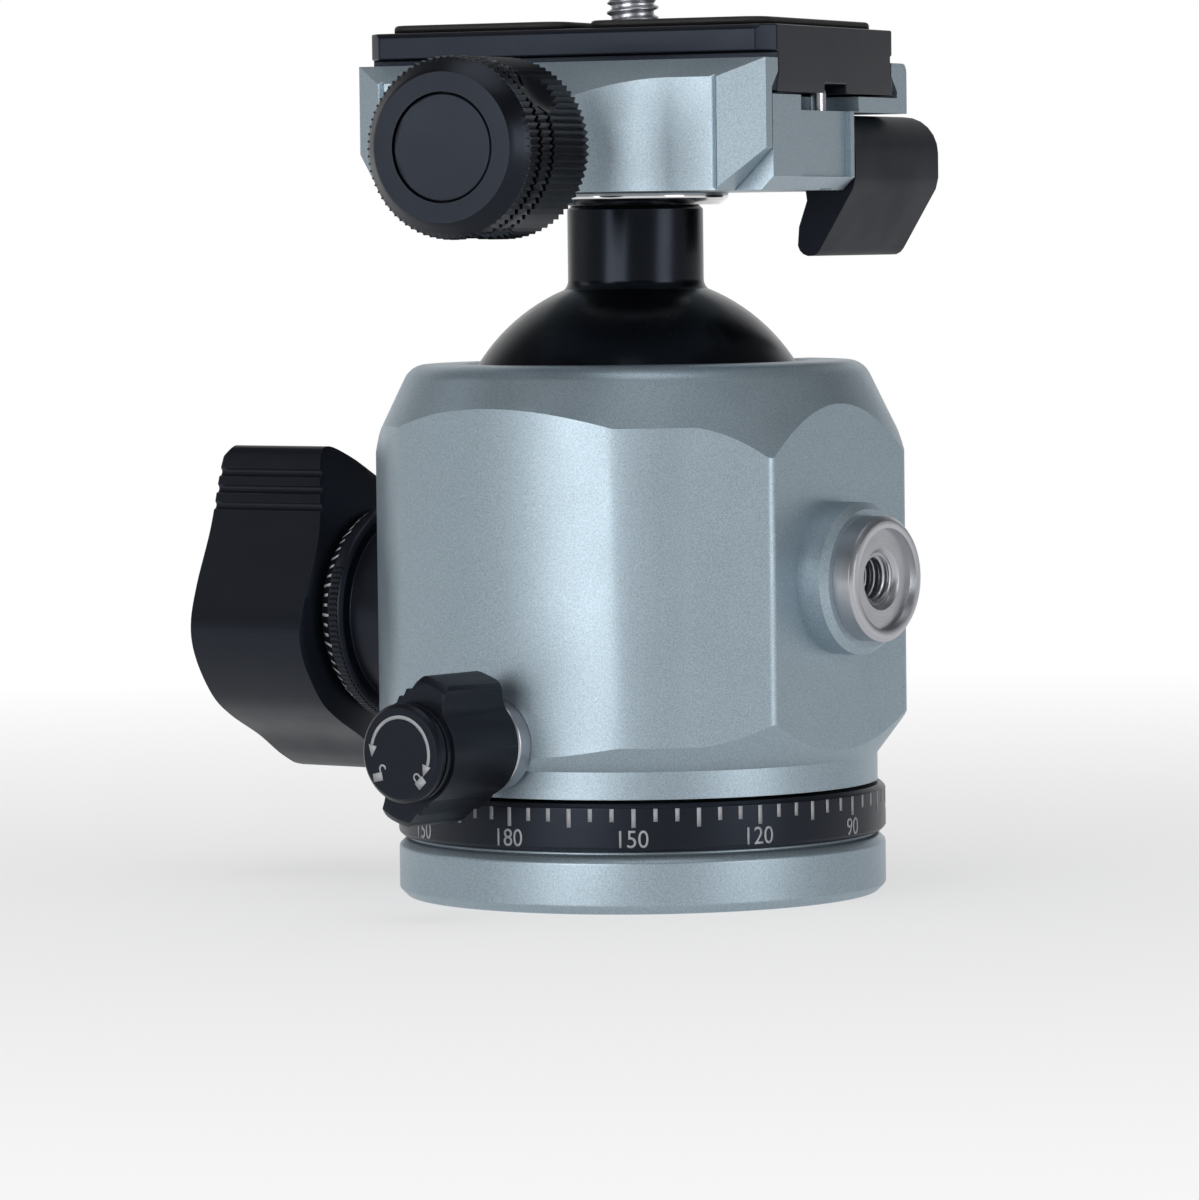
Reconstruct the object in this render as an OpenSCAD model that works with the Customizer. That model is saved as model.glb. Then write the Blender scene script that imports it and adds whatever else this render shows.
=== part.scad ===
// Ball head for a camera tripod, with a panning base and a quick-release clamp.
// Origin: centre of the base's underside. +Z up, -Y front, main knob towards -X.

/* [Base] */
// Diameter of the base plate and the scale ring
base_d = 60; // [57:0.5:64]
// Height of the base plate
base_h = 7; // [6.5:0.5:10]
// Height of the scale ring
ring_h = 5.8; // [5.2:0.2:8]
// Bore of the tripod thread
tripod_thread_d = 9.525; // [9:0.005:10]
// Diameter of the pan brake drum
drum_d = 36; // [34:0.5:37]

/* [Housing] */
// How far the housing's flats stand out past the base
flat_out = 0.2; // [0:0.1:2]
// How far the housing's round stretches stand out past its flats
round_out = 1.15; // [0.8:0.05:1.6]
// Half-angle of the gently rounded front and back
front_half_angle = 31; // [28:0.5:34]
// Half-width of each side flat
side_flat_half = 14; // [13:0.25:15]
// How far the skirt at the housing's foot stands in from the base
skirt_in = 0.9; // [0.4:0.1:2]
// Height of the housing
housing_h = 51.6; // [50.8:0.1:52.4]
// Width of the shoulder from the housing's flats in to the rim
shoulder_in = 4.3; // [3.6:0.1:5.2]

/* [Ball and neck] */
// Diameter of the ball
ball_d = 46; // [45:0.1:46.6]
// Depth of the ball's centre below the housing's top
ball_drop = 12.3; // [11.8:0.1:12.6]
// Diameter of the neck
neck_d = 16.7; // [15:0.1:18]
// Height of the neck's top above the ball's centre
stem_rise = 31.5; // [30.5:0.1:35]
// Diameter of the polished collar under the clamp
collar_d = 23; // [20:0.5:26]

/* [Main knob] */
// Height of the main knob's axis above the ball's lowest point
main_lift = 3.8; // [3.6:0.05:4.1]
// Length of the main knob's grip
main_knob_len = 18.9; // [16:0.1:24]
// Diameter of the friction dial's rim
dial_d = 27.6; // [25:0.2:29]
// Width of the friction dial along the knob's axis
dial_len = 9.9; // [9:0.1:12]

/* [Pan knob] */
// Height of the pan knob's axis above the housing's lower edge
pan_rise = 6.6; // [6.4:0.05:6.8]
// Diameter of the pan knob's barrel
pan_knob_d = 12.6; // [11.6:0.1:13.4]
// Length of the pan knob's barrel
pan_knob_len = 12.5; // [11:0.1:15]
// Reach of each wing from the pan knob's axis
pan_wing_reach = 9.1; // [8.4:0.1:10]

/* [Accessory thread] */
// Height of the accessory boss above the housing's lower edge
boss_rise = 25.6; // [25:0.1:26.4]
// Diameter of the accessory boss
boss_d = 18.4; // [17.4:0.1:20]
// Bore of the accessory thread
accessory_thread_d = 6.35; // [6:0.01:6.6]

/* [Clamp] */
// Turn of the clamp round the neck from the housing's front
clamp_turn = 11.5; // [0:0.5:20]
// Length of the clamp and its plate
clamp_len = 54; // [52:0.5:60]
// Height of the clamp's floor above its underside
floor_rise = 11.35; // [11:0.05:13]
// Diameter of the clamp knob
clamp_knob_d = 21.4; // [20:0.1:23]
// Length of the clamp knob
clamp_knob_len = 18.5; // [15:0.5:22]
// Diameter of the clamp screw
clamp_screw_d = 6; // [5:0.1:6.4]
// Length of the release lever along the clamp's side
lever_len = 26.5; // [24:0.5:28]

/* [Plate] */
// Width of the plate's dovetail at its foot
plate_w = 38; // [37.4:0.1:38.4]
// Thickness of the plate
plate_h = 8; // [7.6:0.1:9]
// Thickness of the rubber pads
pad_h = 1.1; // [0.8:0.1:2]
// Diameter of the camera screw
camera_screw_d = 6.35; // [6:0.01:6.6]
// Height of the camera screw above the pads
camera_screw_rise = 3.2; // [3:0.1:6]

/* [Hidden] */

$fn = 96;
cut = 1;
fit = 0.05;
loose = 0.2;
clear = 0.3;
soft = 0.5;
hex_share = 0.7;

titanium = [0.60, 0.67, 0.69];
black_anodised = [0.10, 0.10, 0.12];
steel = [0.76, 0.76, 0.77];
brass = [0.76, 0.62, 0.33];
nylon = [0.88, 0.87, 0.82];
rubber = [0.06, 0.06, 0.06];

// Levels of the base
base_land_h = 0.5;
base_land_inset = 1.4;
ring_z = base_h + base_land_h;
ring_top = ring_z + ring_h;
pan_gap = 0.4;
housing_z = ring_top + pan_gap;
ring_inner_r = 22;
foot_r = ring_inner_r - fit;
foot_top = ring_top - clear;
bush_r = 7.5;
bush_rise = 3;
bush_top = ring_z + bush_rise;
drum_step = 3;
hub_r = drum_d / 2 - drum_step;
washer_h = 0.7;
bearing_z = foot_top + washer_h + 2 * fit;
bearing_h = 3.3;
bearing_r = 25.5;
bearing_top = bearing_z + bearing_h;
drum_z = bearing_top + washer_h + 2 * fit;
drum_h = 5.6;
drum_top = drum_z + drum_h;
drum_room = 0.6;
base_screw_circle = 16;
base_screw_r = 2;
base_screw_head_r = 3.9;
base_screw_count = 3;
base_screw_turn = 30;
bearing_screw_circle = 22;
bearing_screw_r = 1.25;
bearing_screw_head_r = 2.3;
bearing_screw_head_h = 1.8;
bearing_screw_len = 7;
bearing_screw_count = 4;
bearing_screw_turn = 45;
bearing_hex_h = 1.2;

// Levels and radii of the housing
flat_x = base_d / 2 + flat_out;
housing_d = 2 * (flat_x + round_out);
skirt_r = base_d / 2 - skirt_in;
rim_r = flat_x - shoulder_in;
housing_top = housing_z + housing_h;
skirt_h = 3.3;
lower_slope = 0.75;
upper_slope = 0.485;
shoulder_r = 3;
cone_r = flat_x + 6;
corner_plane = (flat_x + side_flat_half) / sqrt(2);
corner_fillet = 1.6;
housing_r = housing_d / 2;
front_edge_y = housing_r * cos(front_half_angle);
front_rise = flat_x - front_edge_y;
front_r = (pow(housing_r * sin(front_half_angle), 2) + pow(front_rise, 2)) / (2 * front_rise);
boss_reach = 4;
boss_chamfer = 0.8;
socket_gap = 0.4;
ball_r = ball_d / 2;
ball_z = housing_top - ball_drop;
socket_r = ball_r + socket_gap;
bore_step = 0.3;
bore_r = socket_r + bore_step;
rim_chamfer = 0.7;
rim_slope = 1.5;
seat_z = ball_z + 1.7;
seat_h = 4.6;
seat_wall = 1.9;
seat_r = socket_r + seat_wall;
notch_gap = 0.45;
notch_half = neck_d / 2 + notch_gap;
cavity_floor_h = 3;
cavity_floor = drum_top + cavity_floor_h;
main_z = ball_z - ball_r + main_lift;
pan_z = housing_z + pan_rise;
boss_z = housing_z + boss_rise;

// Ball lock: the screw draws a wedge under the cup
cup_lift = 0.6;
cup_z = cavity_floor + cup_lift;
cup_hold = 10;
cup_top = ball_z - ball_r + cup_hold;
cup_r = bore_r - fit;
wedge_gap = 1.2;
wedge_len = 4.3;
wedge_out = ball_r - wedge_gap;
wedge_in = wedge_out - wedge_len;
wedge_half = 3.5;
wedge_slope = 0.5;
wedge_rise = 2.6;
wedge_tip_z = main_z + wedge_rise;
main_screw_r = 4;
main_tip_r = 2;
knob_bush_r = 7;
knob_bush_wall = 0.6;
knob_bush_in = bore_r + knob_bush_wall;
dial_out = flat_x + clear + dial_len;
dial_bevel = 1.3;
dial_bevel_h = 2.2;
dial_band = 1.4;
dial_rim_out = dial_out - dial_bevel_h;
dial_rim_in = dial_rim_out - dial_band;
dial_hub_r = 12;
knob_in = dial_out + pan_gap;
knob_out = knob_in + main_knob_len;
knob_tip_r = 22.4;
knob_hub_r = 14.5;
knob_taper = 3.4;
knob_hub_bevel = 2;
knob_hub_rise = 0.8;
knob_edge = 1.2;
knob_cap_r = 7.5;
knob_cap_h = 2.2;
grip_groove_r = 0.55;
grip_groove_step = [-2.1, -0.62];
grip_groove_count = 3;
grip_groove_at = [17.6, -9.1];

// Pan lock
pan_bush_head_r = 5.7;
pan_bush_head_h = 2.1;
pan_seat_h = 0.6;
pan_seat_in = flat_x - pan_seat_h;
pan_bush_r = 4;
pan_bush_wall = 0.9;
pan_bush_in = bearing_r + pan_bush_wall;
pan_screw_r = 2.5;
pan_shoe_r = 2.7;
pan_play = 0.35;
pan_shoe_in = drum_d / 2 + pan_play;
pan_shoe_len = 2.3;
pan_knob_in = flat_x + pan_bush_head_h + pan_play;
pan_knob_out = pan_knob_in + pan_knob_len;
pan_fin_half = 2.2;
pan_fin_edge = 0.9;
pan_hollow_r = 2;
pan_step_count = 3;
pan_step_h = 0.62;
pan_step_drop = 0.9;
pan_step_from = 17;
pan_step_turn = 10;
pan_step_share = 0.6;
pan_wing_lean = 20;
pan_wing_rise = 2;
pan_edge = 0.7;
pan_cap_r = 5.9;
pan_cap_h = 2.6;
pan_cap_groove = 0.35;

// Accessory bush
insert_r = 7.55;
insert_wall = 1.8;
insert_in = bore_r + insert_wall;
insert_stand = 2.8;
insert_out = flat_x + boss_reach + insert_stand;
insert_recess_r = 6.15;
insert_recess_h = 0.9;
insert_sink_r = 3.75;
insert_floor_h = 1.5;
accessory_floor = insert_in + insert_floor_h;

// Neck and clamp
neck_r = neck_d / 2;
neck_top = ball_z + stem_rise;
neck_fillet = 1.6;
collar_h = 1.45;
collar_bevel = 1;
collar_land = 0.65;
clamp_z = neck_top + collar_h + fit;
bolt_r = 3;
bolt_head_r = 5;
bolt_head_h = 4.6;
bolt_depth = 18;
hex_r = 2.9;
hex_h = 3;
clamp_half = clamp_len / 2;
clamp_bevel = 5;
floor_z = clamp_z + floor_rise;
plate_z = floor_z + clear;
plate_half = plate_w / 2;
lip_inset = 1.8;
lip_flat = 1.7;
lip_bevel = 1.8;
jaw_top = plate_z + lip_bevel + lip_flat + soft;
jaw_gap = 0.2;
body_front = plate_half;
rear_wall = 3.2;
body_rear = plate_half + rear_wall;
rear_wall_top_fillet = 1.2;
rear_chamfer = 3;
end_bevel = 1.6;
end_recess = 0.6;
recess_front = 10.6;
recess_wall = 1.1;
pin_in = 2.4;
pin_x = clamp_half - pin_in;
pin_r = 1;
pin_waist_r = 0.6;
pin_waist_half = 1.3;
pin_rise = 1.6;
pin_pocket_len = 2.2;
pin_pocket_x = pin_x - pin_pocket_len;
pin_pocket_drop = 1.8;
pin_pocket_rear = 7;
pin_engage = 0.65;
screw_rise = 5.2;
screw_z = clamp_z + screw_rise;
screw_r = clamp_screw_d / 2;
screw_in = 9;
guide_r = 2;
guide_x = 16;
guide_in = 6;
guide_out = 22.5;
spring_x = 10;
spring_hole_r = 2.4;
spring_in = 10;
spring_wire_r = 0.3;
spring_coil_r = 1.8;
spring_turns = 5;

// Jaw outline in plan
jaw_end = 2;
jaw_depth = 6;
jaw_front = plate_half + jaw_depth;
jaw_ear = 4.6;
cove_r = 18;
cove_start = 16.2;
nose_half = 5;
nose_out = 33;
jaw_bevel_slope = 0.56;
jaw_groove_w = 0.8;
jaw_groove_h = 0.5;

// Clamp knob
knob_gap = 1;
clamp_knob_in = nose_out + knob_gap + loose;
clamp_knob_out = clamp_knob_in + clamp_knob_len;
clamp_knob_r = clamp_knob_d / 2;
face_bevel = 1.95;
face_r = clamp_knob_r - face_bevel;
face_cap_r = 6.4;
face_cap_h = 2;
knurl_h = 0.45;
knurl_count = 76;
knurl_gap = 0.9;
front_band = 2.3;
scoop_r = 7;
scoop_depth = 1.3;
scoop_count = 3;
scoop_turn = 38;
knob_core_step = 0.6;
knob_back_bevel = 2;
knob_back_band = 1.2;

// Release lever
pocket_len = 10.5;
pocket_in = clamp_half - pocket_len;
pocket_front = 5.5;
pocket_roof = 1.9;
pocket_top = floor_z - pocket_roof;
lever_front = pocket_front + clear;
lever_top = pocket_top - loose;
lever_axis_in = 6;
lever_axis_x = clamp_half - lever_axis_in;
lever_axis_rise = 4.7;
lever_axis_z = clamp_z + lever_axis_rise;
lever_out = clamp_half;
lever_thick = 6.7;
lever_knee_z = clamp_z + loose;
lever_knee_h = 1.4;
lever_knee_in = 0.35;
lever_drop = 8;
lever_foot_z = clamp_z - lever_drop;
lever_foot_in = 6.2;
lever_foot_x = clamp_half - lever_foot_in;
lever_foot_r = 1.6;
lever_hook_h = 3.6;
lever_top_r = 4.6;
lever_eye_r = 2.7;
shaft_end = 2;
shaft_r = 1.5;
shaft_front = -3;
crank_half = 1.3;
crank_h = 0.7;
crank_len = pin_x - lever_axis_x;

// Plate
plate_wing_h = 3.2;
plate_top = plate_z + plate_h;
wing_z = plate_top - plate_wing_h;
wing_over = 0.6;
wing_half = plate_half + wing_over;
plate_corner = 2;
plate_edge = 0.5;
stop_groove_half = 3.25;
stop_groove_h = 1.1;
stop_travel = 4.3;
stop_groove_in = pin_x - stop_travel;
pad_edge = 2;
pad_split = 1.5;
pad_corner_r = 3;
pad_top = plate_top + pad_h;
pad_clear_r = 6;
head_r = 7.5;
head_h = 2.4;
head_room = 0.4;
camera_neck_r = 2.4;
coin_slot = 1.6;
coin_slot_h = 1.2;
camera_top = pad_top + camera_screw_rise;
camera_thread_z = pad_top;

// Points of a circular arc, from one angle to another
function arc(centre, r, from, to, steps) =
    [for (i = [0:steps]) let (a = from + (to - from) * i / steps) centre + r * [cos(a), sin(a)]];

// One point of a smooth curve through p1 and p2
function blend(p0, p1, p2, p3, t) =
    0.5 * ((2 * p1) + (p2 - p0) * t + (2 * p0 - 5 * p1 + 4 * p2 - p3) * t * t
    + (3 * p1 - p0 - 3 * p2 + p3) * t * t * t);

// A closed smooth curve through a ring of points
function smooth_ring(points, steps) =
    [for (i = [0:len(points) - 1], k = [0:steps - 1])
        blend(points[(i + len(points) - 1) % len(points)], points[i], points[(i + 1) % len(points)],
            points[(i + 2) % len(points)], k / steps)];

// Points of a round knurled outline with pointed teeth
function knurl(r, depth, count) =
    [for (i = [0:2 * count - 1]) (r - (i % 2) * depth) * [cos(180 * i / count), sin(180 * i / count)]];

// Point of a coil of wire at turn t
function coil_point(r, pitch, t) = [r * cos(360 * t), r * sin(360 * t), pitch * t];

// Local +Z runs out along each axis, away from the middle of the head
module main_axis() translate([0, 0, main_z]) rotate([0, -90, 0]) children();
module pan_axis() translate([0, 0, pan_z]) rotate([90, 0, 0]) children();
module boss_axis() translate([0, 0, boss_z]) rotate([0, 90, 0]) children();
module on_clamp() rotate([0, 0, clamp_turn]) children();
module clamp_axis() translate([0, 0, screw_z]) rotate([90, 0, 0]) children();

// A straight cylinder between two levels
module bar(r, z0, z1) translate([0, 0, z0]) cylinder(r = r, h = z1 - z0);

// A ring between two levels
module ring(r_in, r_out, z0, z1) {
    difference() {
        bar(r_out, z0, z1);
        bar(r_in, z0 - cut, z1 + cut);
    }
}

// A cylinder with a chamfer at its far end
module chamfered(r, z0, z1, c) {
    rotate_extrude()
        polygon([[0, z0], [r, z0], [r, z1 - c], [r - c, z1], [0, z1]]);
}

// Children repeated round the Z axis
module round_copies(count, turn = 0) {
    for (i = [0:count - 1]) rotate([0, 0, turn + 360 * i / count]) children();
}

// A profile in Y and Z drawn along X between two stations
module along_x(x0, x1) translate([x0, 0, 0]) rotate([90, 0, 90]) linear_extrude(x1 - x0) children();

// A profile in X and Z drawn along Y between two stations
module along_y(y0, y1) translate([0, y1, 0]) rotate([90, 0, 0]) linear_extrude(y1 - y0) children();

// Base plate with the seat of the tripod bush and the screws' countersinks
module base_plate() {
    chamfer = 1;
    top_bevel = 0.8;
    sink_h = base_screw_head_r - base_screw_r + fit;
    color(titanium)
    difference() {
        rotate_extrude()
            polygon([
                [0, 0], [base_d / 2 - chamfer, 0], [base_d / 2, chamfer], [base_d / 2, base_h - top_bevel],
                [base_d / 2 - top_bevel, base_h], [base_d / 2 - base_land_inset, base_h],
                [base_d / 2 - base_land_inset, ring_z], [0, ring_z]
            ]);
        bar(bush_r, -cut, ring_z + cut);
        round_copies(base_screw_count, base_screw_turn) translate([base_screw_circle, 0, 0]) {
            bar(base_screw_r + fit, -cut, ring_z + cut);
            translate([0, 0, -fit])
                cylinder(r1 = base_screw_head_r + fit, r2 = base_screw_r + fit, h = sink_h);
        }
    }
}

// Steel bush with the tripod thread
module tripod_bush() {
    color(steel)
    rotate_extrude()
        polygon([
            [tripod_thread_d / 2, 0], [bush_r, 0], [bush_r, bush_top], [tripod_thread_d / 2, bush_top]
        ]);
}

// Black ring that carries the degree scale
module scale_ring() {
    color(black_anodised)
    rotate_extrude()
        polygon([
            [ring_inner_r, ring_z], [base_d / 2 - soft, ring_z], [base_d / 2, ring_z + soft],
            [base_d / 2, ring_top - soft], [base_d / 2 - soft, ring_top], [ring_inner_r, ring_top]
        ]);
}

// Spindle that the housing pans on, with its brake drum
module pan_spindle() {
    color(steel)
    difference() {
        rotate_extrude()
            polygon([
                [0, ring_z], [foot_r, ring_z], [foot_r, foot_top], [hub_r, foot_top], [hub_r, drum_z],
                [drum_d / 2, drum_z], [drum_d / 2, drum_top - soft], [drum_d / 2 - soft, drum_top],
                [0, drum_top]
            ]);
        bar(bush_r + fit, ring_z - cut, bush_top + fit);
        round_copies(base_screw_count, base_screw_turn) translate([base_screw_circle, 0, 0])
            bar(base_screw_r + fit, ring_z - cut, foot_top - soft);
    }
}

// Countersunk screws that hold the spindle to the base plate
module base_screws() {
    head_h = base_screw_head_r - base_screw_r;
    color(steel)
    round_copies(base_screw_count, base_screw_turn) translate([base_screw_circle, 0, 0])
        difference() {
            union() {
                cylinder(r1 = base_screw_head_r, r2 = base_screw_r, h = head_h);
                bar(base_screw_r, head_h - fit, foot_top - 2 * soft);
            }
            translate([0, 0, -cut])
                cylinder(r = base_screw_r * hex_share, h = cut + head_h * hex_share, $fn = 6);
        }
}

// Slip washer under the bearing plate
module lower_washer() {
    washer_z = foot_top + fit;
    color(nylon) ring(hub_r + clear, foot_r - soft, washer_z, washer_z + washer_h);
}

// Slip washer between the bearing plate and the drum
module upper_washer() {
    washer_z = bearing_top + fit;
    color(nylon) ring(hub_r + clear, drum_d / 2 - soft, washer_z, washer_z + washer_h);
}

// Bearing plate that holds the housing down on the spindle
module bearing_plate() {
    color(titanium)
    difference() {
        ring(hub_r + loose, bearing_r, bearing_z, bearing_top);
        round_copies(bearing_screw_count, bearing_screw_turn) translate([bearing_screw_circle, 0, 0]) {
            bar(bearing_screw_r + fit, bearing_z - cut, bearing_top + cut);
            bar(bearing_screw_head_r + fit, bearing_z - cut, bearing_z + bearing_screw_head_h);
        }
    }
}

// Cap screws that hold the bearing plate in the housing
module bearing_screws() {
    head_z = bearing_z + fit;
    color(steel)
    round_copies(bearing_screw_count, bearing_screw_turn) translate([bearing_screw_circle, 0, 0])
        difference() {
            union() {
                bar(bearing_screw_head_r, head_z, bearing_z + bearing_screw_head_h);
                bar(bearing_screw_r, head_z + soft, bearing_z + bearing_screw_len);
            }
            translate([0, 0, head_z - cut]) cylinder(r = bearing_screw_r, h = cut + bearing_hex_h, $fn = 6);
        }
}

// Plan outline of the housing: a round with two broad side flats and a flatter front and back
module housing_outline() {
    fillet_x = flat_x - corner_fillet;
    fillet_y = (corner_plane - corner_fillet) * sqrt(2) - fillet_x;
    bevel = corner_plane / sqrt(2);
    quarter = concat(arc([fillet_x, fillet_y], corner_fillet, 0, 45, 6), [[bevel, bevel]]);
    left = [for (i = [len(quarter) - 1:-1:0]) [-quarter[i].x, quarter[i].y]];
    upper = concat(quarter, left);
    lower = [for (p = upper) -p];
    intersection() {
        union() {
            circle(r = housing_r);
            polygon(concat(upper, lower));
        }
        square([2 * flat_x, 2 * front_r], center = true);
        translate([0, front_r - flat_x]) circle(r = front_r);
        translate([0, flat_x - front_r]) circle(r = front_r);
    }
}

// Turned outline of the housing: skirt, lower cone, upper cone and rounded shoulder
module housing_turning() {
    lean = atan(upper_slope);
    shoulder = arc([rim_r, housing_top - shoulder_r], shoulder_r, lean, 90, 8);
    skirt_z = housing_z + skirt_h;
    rotate_extrude()
        polygon(concat(
            [[0, housing_z], [skirt_r, housing_z], [skirt_r, skirt_z],
                [cone_r, skirt_z + (cone_r - skirt_r) / lower_slope],
                [cone_r, shoulder[0].y - (cone_r - shoulder[0].x) / upper_slope]],
            shoulder, [[0, housing_top]]));
}

// Slot in the rear rim that lets the neck drop
module drop_notch() {
    along_y(0, cone_r + cut)
        polygon(concat(
            arc([0, ball_z], notch_half, 180, 360, 12),
            [[notch_half, housing_top + cut], [-notch_half, housing_top + cut]]
        ));
}

// Main casing: ball socket, bearing recess and the seats of the knobs and the bush
module housing() {
    lip_z = housing_top - rim_chamfer;
    lip_h = rim_chamfer + fit;
    lip_r = sqrt(pow(socket_r, 2) - pow(lip_z - ball_z, 2));
    color(titanium)
    difference() {
        union() {
            intersection() {
                housing_turning();
                translate([0, 0, housing_z - cut]) linear_extrude(housing_h + 2 * cut) housing_outline();
            }
            boss_axis() chamfered(boss_d / 2, insert_in, flat_x + boss_reach, boss_chamfer);
        }
        bar(bearing_r + fit, housing_z - cut, bearing_top + fit);
        bar(drum_d / 2 + drum_room, bearing_top, drum_top + drum_room);
        bar(bore_r, cavity_floor, ball_z);
        translate([0, 0, ball_z]) sphere(r = socket_r);
        translate([0, 0, lip_z - cut])
            cylinder(r1 = lip_r - rim_slope * cut, r2 = lip_r + rim_slope * lip_h, h = cut + lip_h);
        bar(seat_r, seat_z, seat_z + seat_h);
        drop_notch();
        main_axis() bar(knob_bush_r, bore_r - cut, flat_x + cut);
        pan_axis() {
            bar(pan_bush_head_r + fit, pan_seat_in, flat_x + cut);
            bar(pan_bush_r, pan_bush_in, flat_x);
            bar(pan_screw_r + loose, pan_shoe_in, pan_bush_in + cut);
            bar(pan_shoe_r + fit, drum_d / 2, pan_shoe_in + pan_shoe_len + clear + soft);
        }
        boss_axis() bar(insert_r, insert_in, insert_out);
        round_copies(bearing_screw_count, bearing_screw_turn) translate([bearing_screw_circle, 0, 0])
            bar(bearing_screw_r, bearing_top - cut, bearing_z + bearing_screw_len + soft);
    }
}

// Stainless bush with the accessory thread
module accessory_bush() {
    thread_r = accessory_thread_d / 2;
    face = insert_out - insert_recess_h;
    color(steel)
    boss_axis()
        rotate_extrude()
            polygon([
                [0, insert_in], [insert_r, insert_in], [insert_r, insert_out - soft],
                [insert_r - soft, insert_out], [insert_recess_r, insert_out], [insert_recess_r, face],
                [insert_sink_r, face], [thread_r, face - (insert_sink_r - thread_r)],
                [thread_r, accessory_floor], [0, accessory_floor]
            ]);
}

// Nylon ring that the ball is pressed up against
module upper_seat() {
    color(nylon)
    difference() {
        bar(seat_r - fit, seat_z + fit, seat_z + seat_h - fit);
        translate([0, 0, ball_z]) sphere(r = ball_r + loose);
        drop_notch();
    }
}

// Cup under the ball, lifted by the wedge
module lower_cup() {
    roof_in = wedge_tip_z + clear;
    slot_in = wedge_in - soft;
    slot_out = bore_r + cut;
    color(nylon)
    difference() {
        bar(cup_r, cup_z, cup_top);
        translate([0, 0, ball_z]) sphere(r = ball_r + clear);
        along_y(-wedge_half - clear, wedge_half + clear)
            polygon([
                [-slot_out, cup_z - cut], [-slot_in, cup_z - cut],
                [-slot_in, roof_in - (wedge_in - slot_in) * wedge_slope],
                [-slot_out, roof_in + (slot_out - wedge_in) * wedge_slope]
            ]);
    }
}

// Wedge drawn along the main screw
module thrust_wedge() {
    foot_z = cavity_floor + clear;
    color(brass)
    difference() {
        along_y(-wedge_half, wedge_half)
            polygon([
                [-wedge_out, foot_z], [-wedge_in, foot_z], [-wedge_in, wedge_tip_z],
                [-wedge_out, wedge_tip_z + (wedge_out - wedge_in) * wedge_slope]
            ]);
        main_axis() bar(main_tip_r + fit, wedge_in - cut, wedge_out + cut);
    }
}

// Threaded bush in the housing's side for the main screw
module knob_bush() color(brass) main_axis() ring(main_screw_r + fit, knob_bush_r, knob_bush_in, flat_x);

// Lock screw, fixed in the main knob
module main_screw() {
    color(steel)
    main_axis() {
        bar(main_tip_r, wedge_in - clear, knob_bush_in + cut);
        bar(main_screw_r, knob_bush_in + loose, knob_out - knob_cap_h - soft);
    }
}

// Two-winged grip outline in shares of its reach, smooth and the same after a half turn
module main_knob_outline() {
    half = [
        [0.933, -0.295], [0.830, -0.384], [0.469, -0.491], [0.152, -0.621], [-0.076, -0.679],
        [-0.268, -0.638], [-0.482, -0.500], [-0.607, -0.339], [-0.737, -0.089], [-0.866, 0.116]
    ];
    polygon(knob_tip_r * smooth_ring(concat(half, [for (p = half) -p]), 6));
}

// Winged knob that locks the ball
module main_knob() {
    wing_in = knob_in + knob_taper;
    color(black_anodised)
    main_axis()
        difference() {
            intersection() {
                translate([0, 0, knob_in]) linear_extrude(main_knob_len) main_knob_outline();
                rotate_extrude()
                    polygon([
                        [0, knob_in], [knob_hub_r - knob_hub_bevel, knob_in],
                        [knob_hub_r, knob_in + knob_hub_rise], [knob_tip_r, wing_in],
                        [knob_tip_r, knob_out - knob_edge],
                        [knob_tip_r - knob_edge, knob_out], [0, knob_out]
                    ]);
            }
            bar(main_screw_r, knob_in - cut, knob_out - knob_cap_h);
            bar(knob_cap_r + fit, knob_out - knob_cap_h, knob_out + cut);
            round_copies(2)
                for (i = [0:grip_groove_count - 1])
                    translate(concat(grip_groove_at + i * grip_groove_step, 0))
                        bar(grip_groove_r, knob_in - cut, knob_out + cut);
        }
}

// Cap over the main knob's screw end
module main_knob_cap() {
    color(black_anodised)
    main_axis() chamfered(knob_cap_r, knob_out - knob_cap_h + fit, knob_out - loose, soft);
}

// Friction dial between the main knob and the housing
module friction_dial() {
    rim = dial_d / 2;
    color(black_anodised)
    main_axis()
        difference() {
            rotate_extrude()
                polygon([
                    [0, flat_x + clear], [dial_hub_r, flat_x + clear], [dial_hub_r, dial_rim_in - soft],
                    [rim - soft, dial_rim_in - soft], [rim, dial_rim_in], [rim, dial_rim_out],
                    [rim - dial_bevel, dial_out], [0, dial_out]
                ]);
            bar(main_screw_r + fit, flat_x, dial_out + cut);
        }
}

// Steel bush that shows as a collar under the pan knob
module pan_bush() {
    color(steel)
    pan_axis()
        difference() {
            union() {
                bar(pan_bush_r, pan_bush_in, flat_x);
                chamfered(pan_bush_head_r, pan_seat_in, flat_x + pan_bush_head_h, soft);
            }
            bar(pan_screw_r + fit, pan_bush_in - cut, flat_x + pan_bush_head_h + cut);
        }
}

// Screw that presses the brake shoe
module pan_screw() {
    color(steel) pan_axis() bar(pan_screw_r, pan_shoe_in + pan_shoe_len + soft, pan_knob_out - soft);
}

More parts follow.
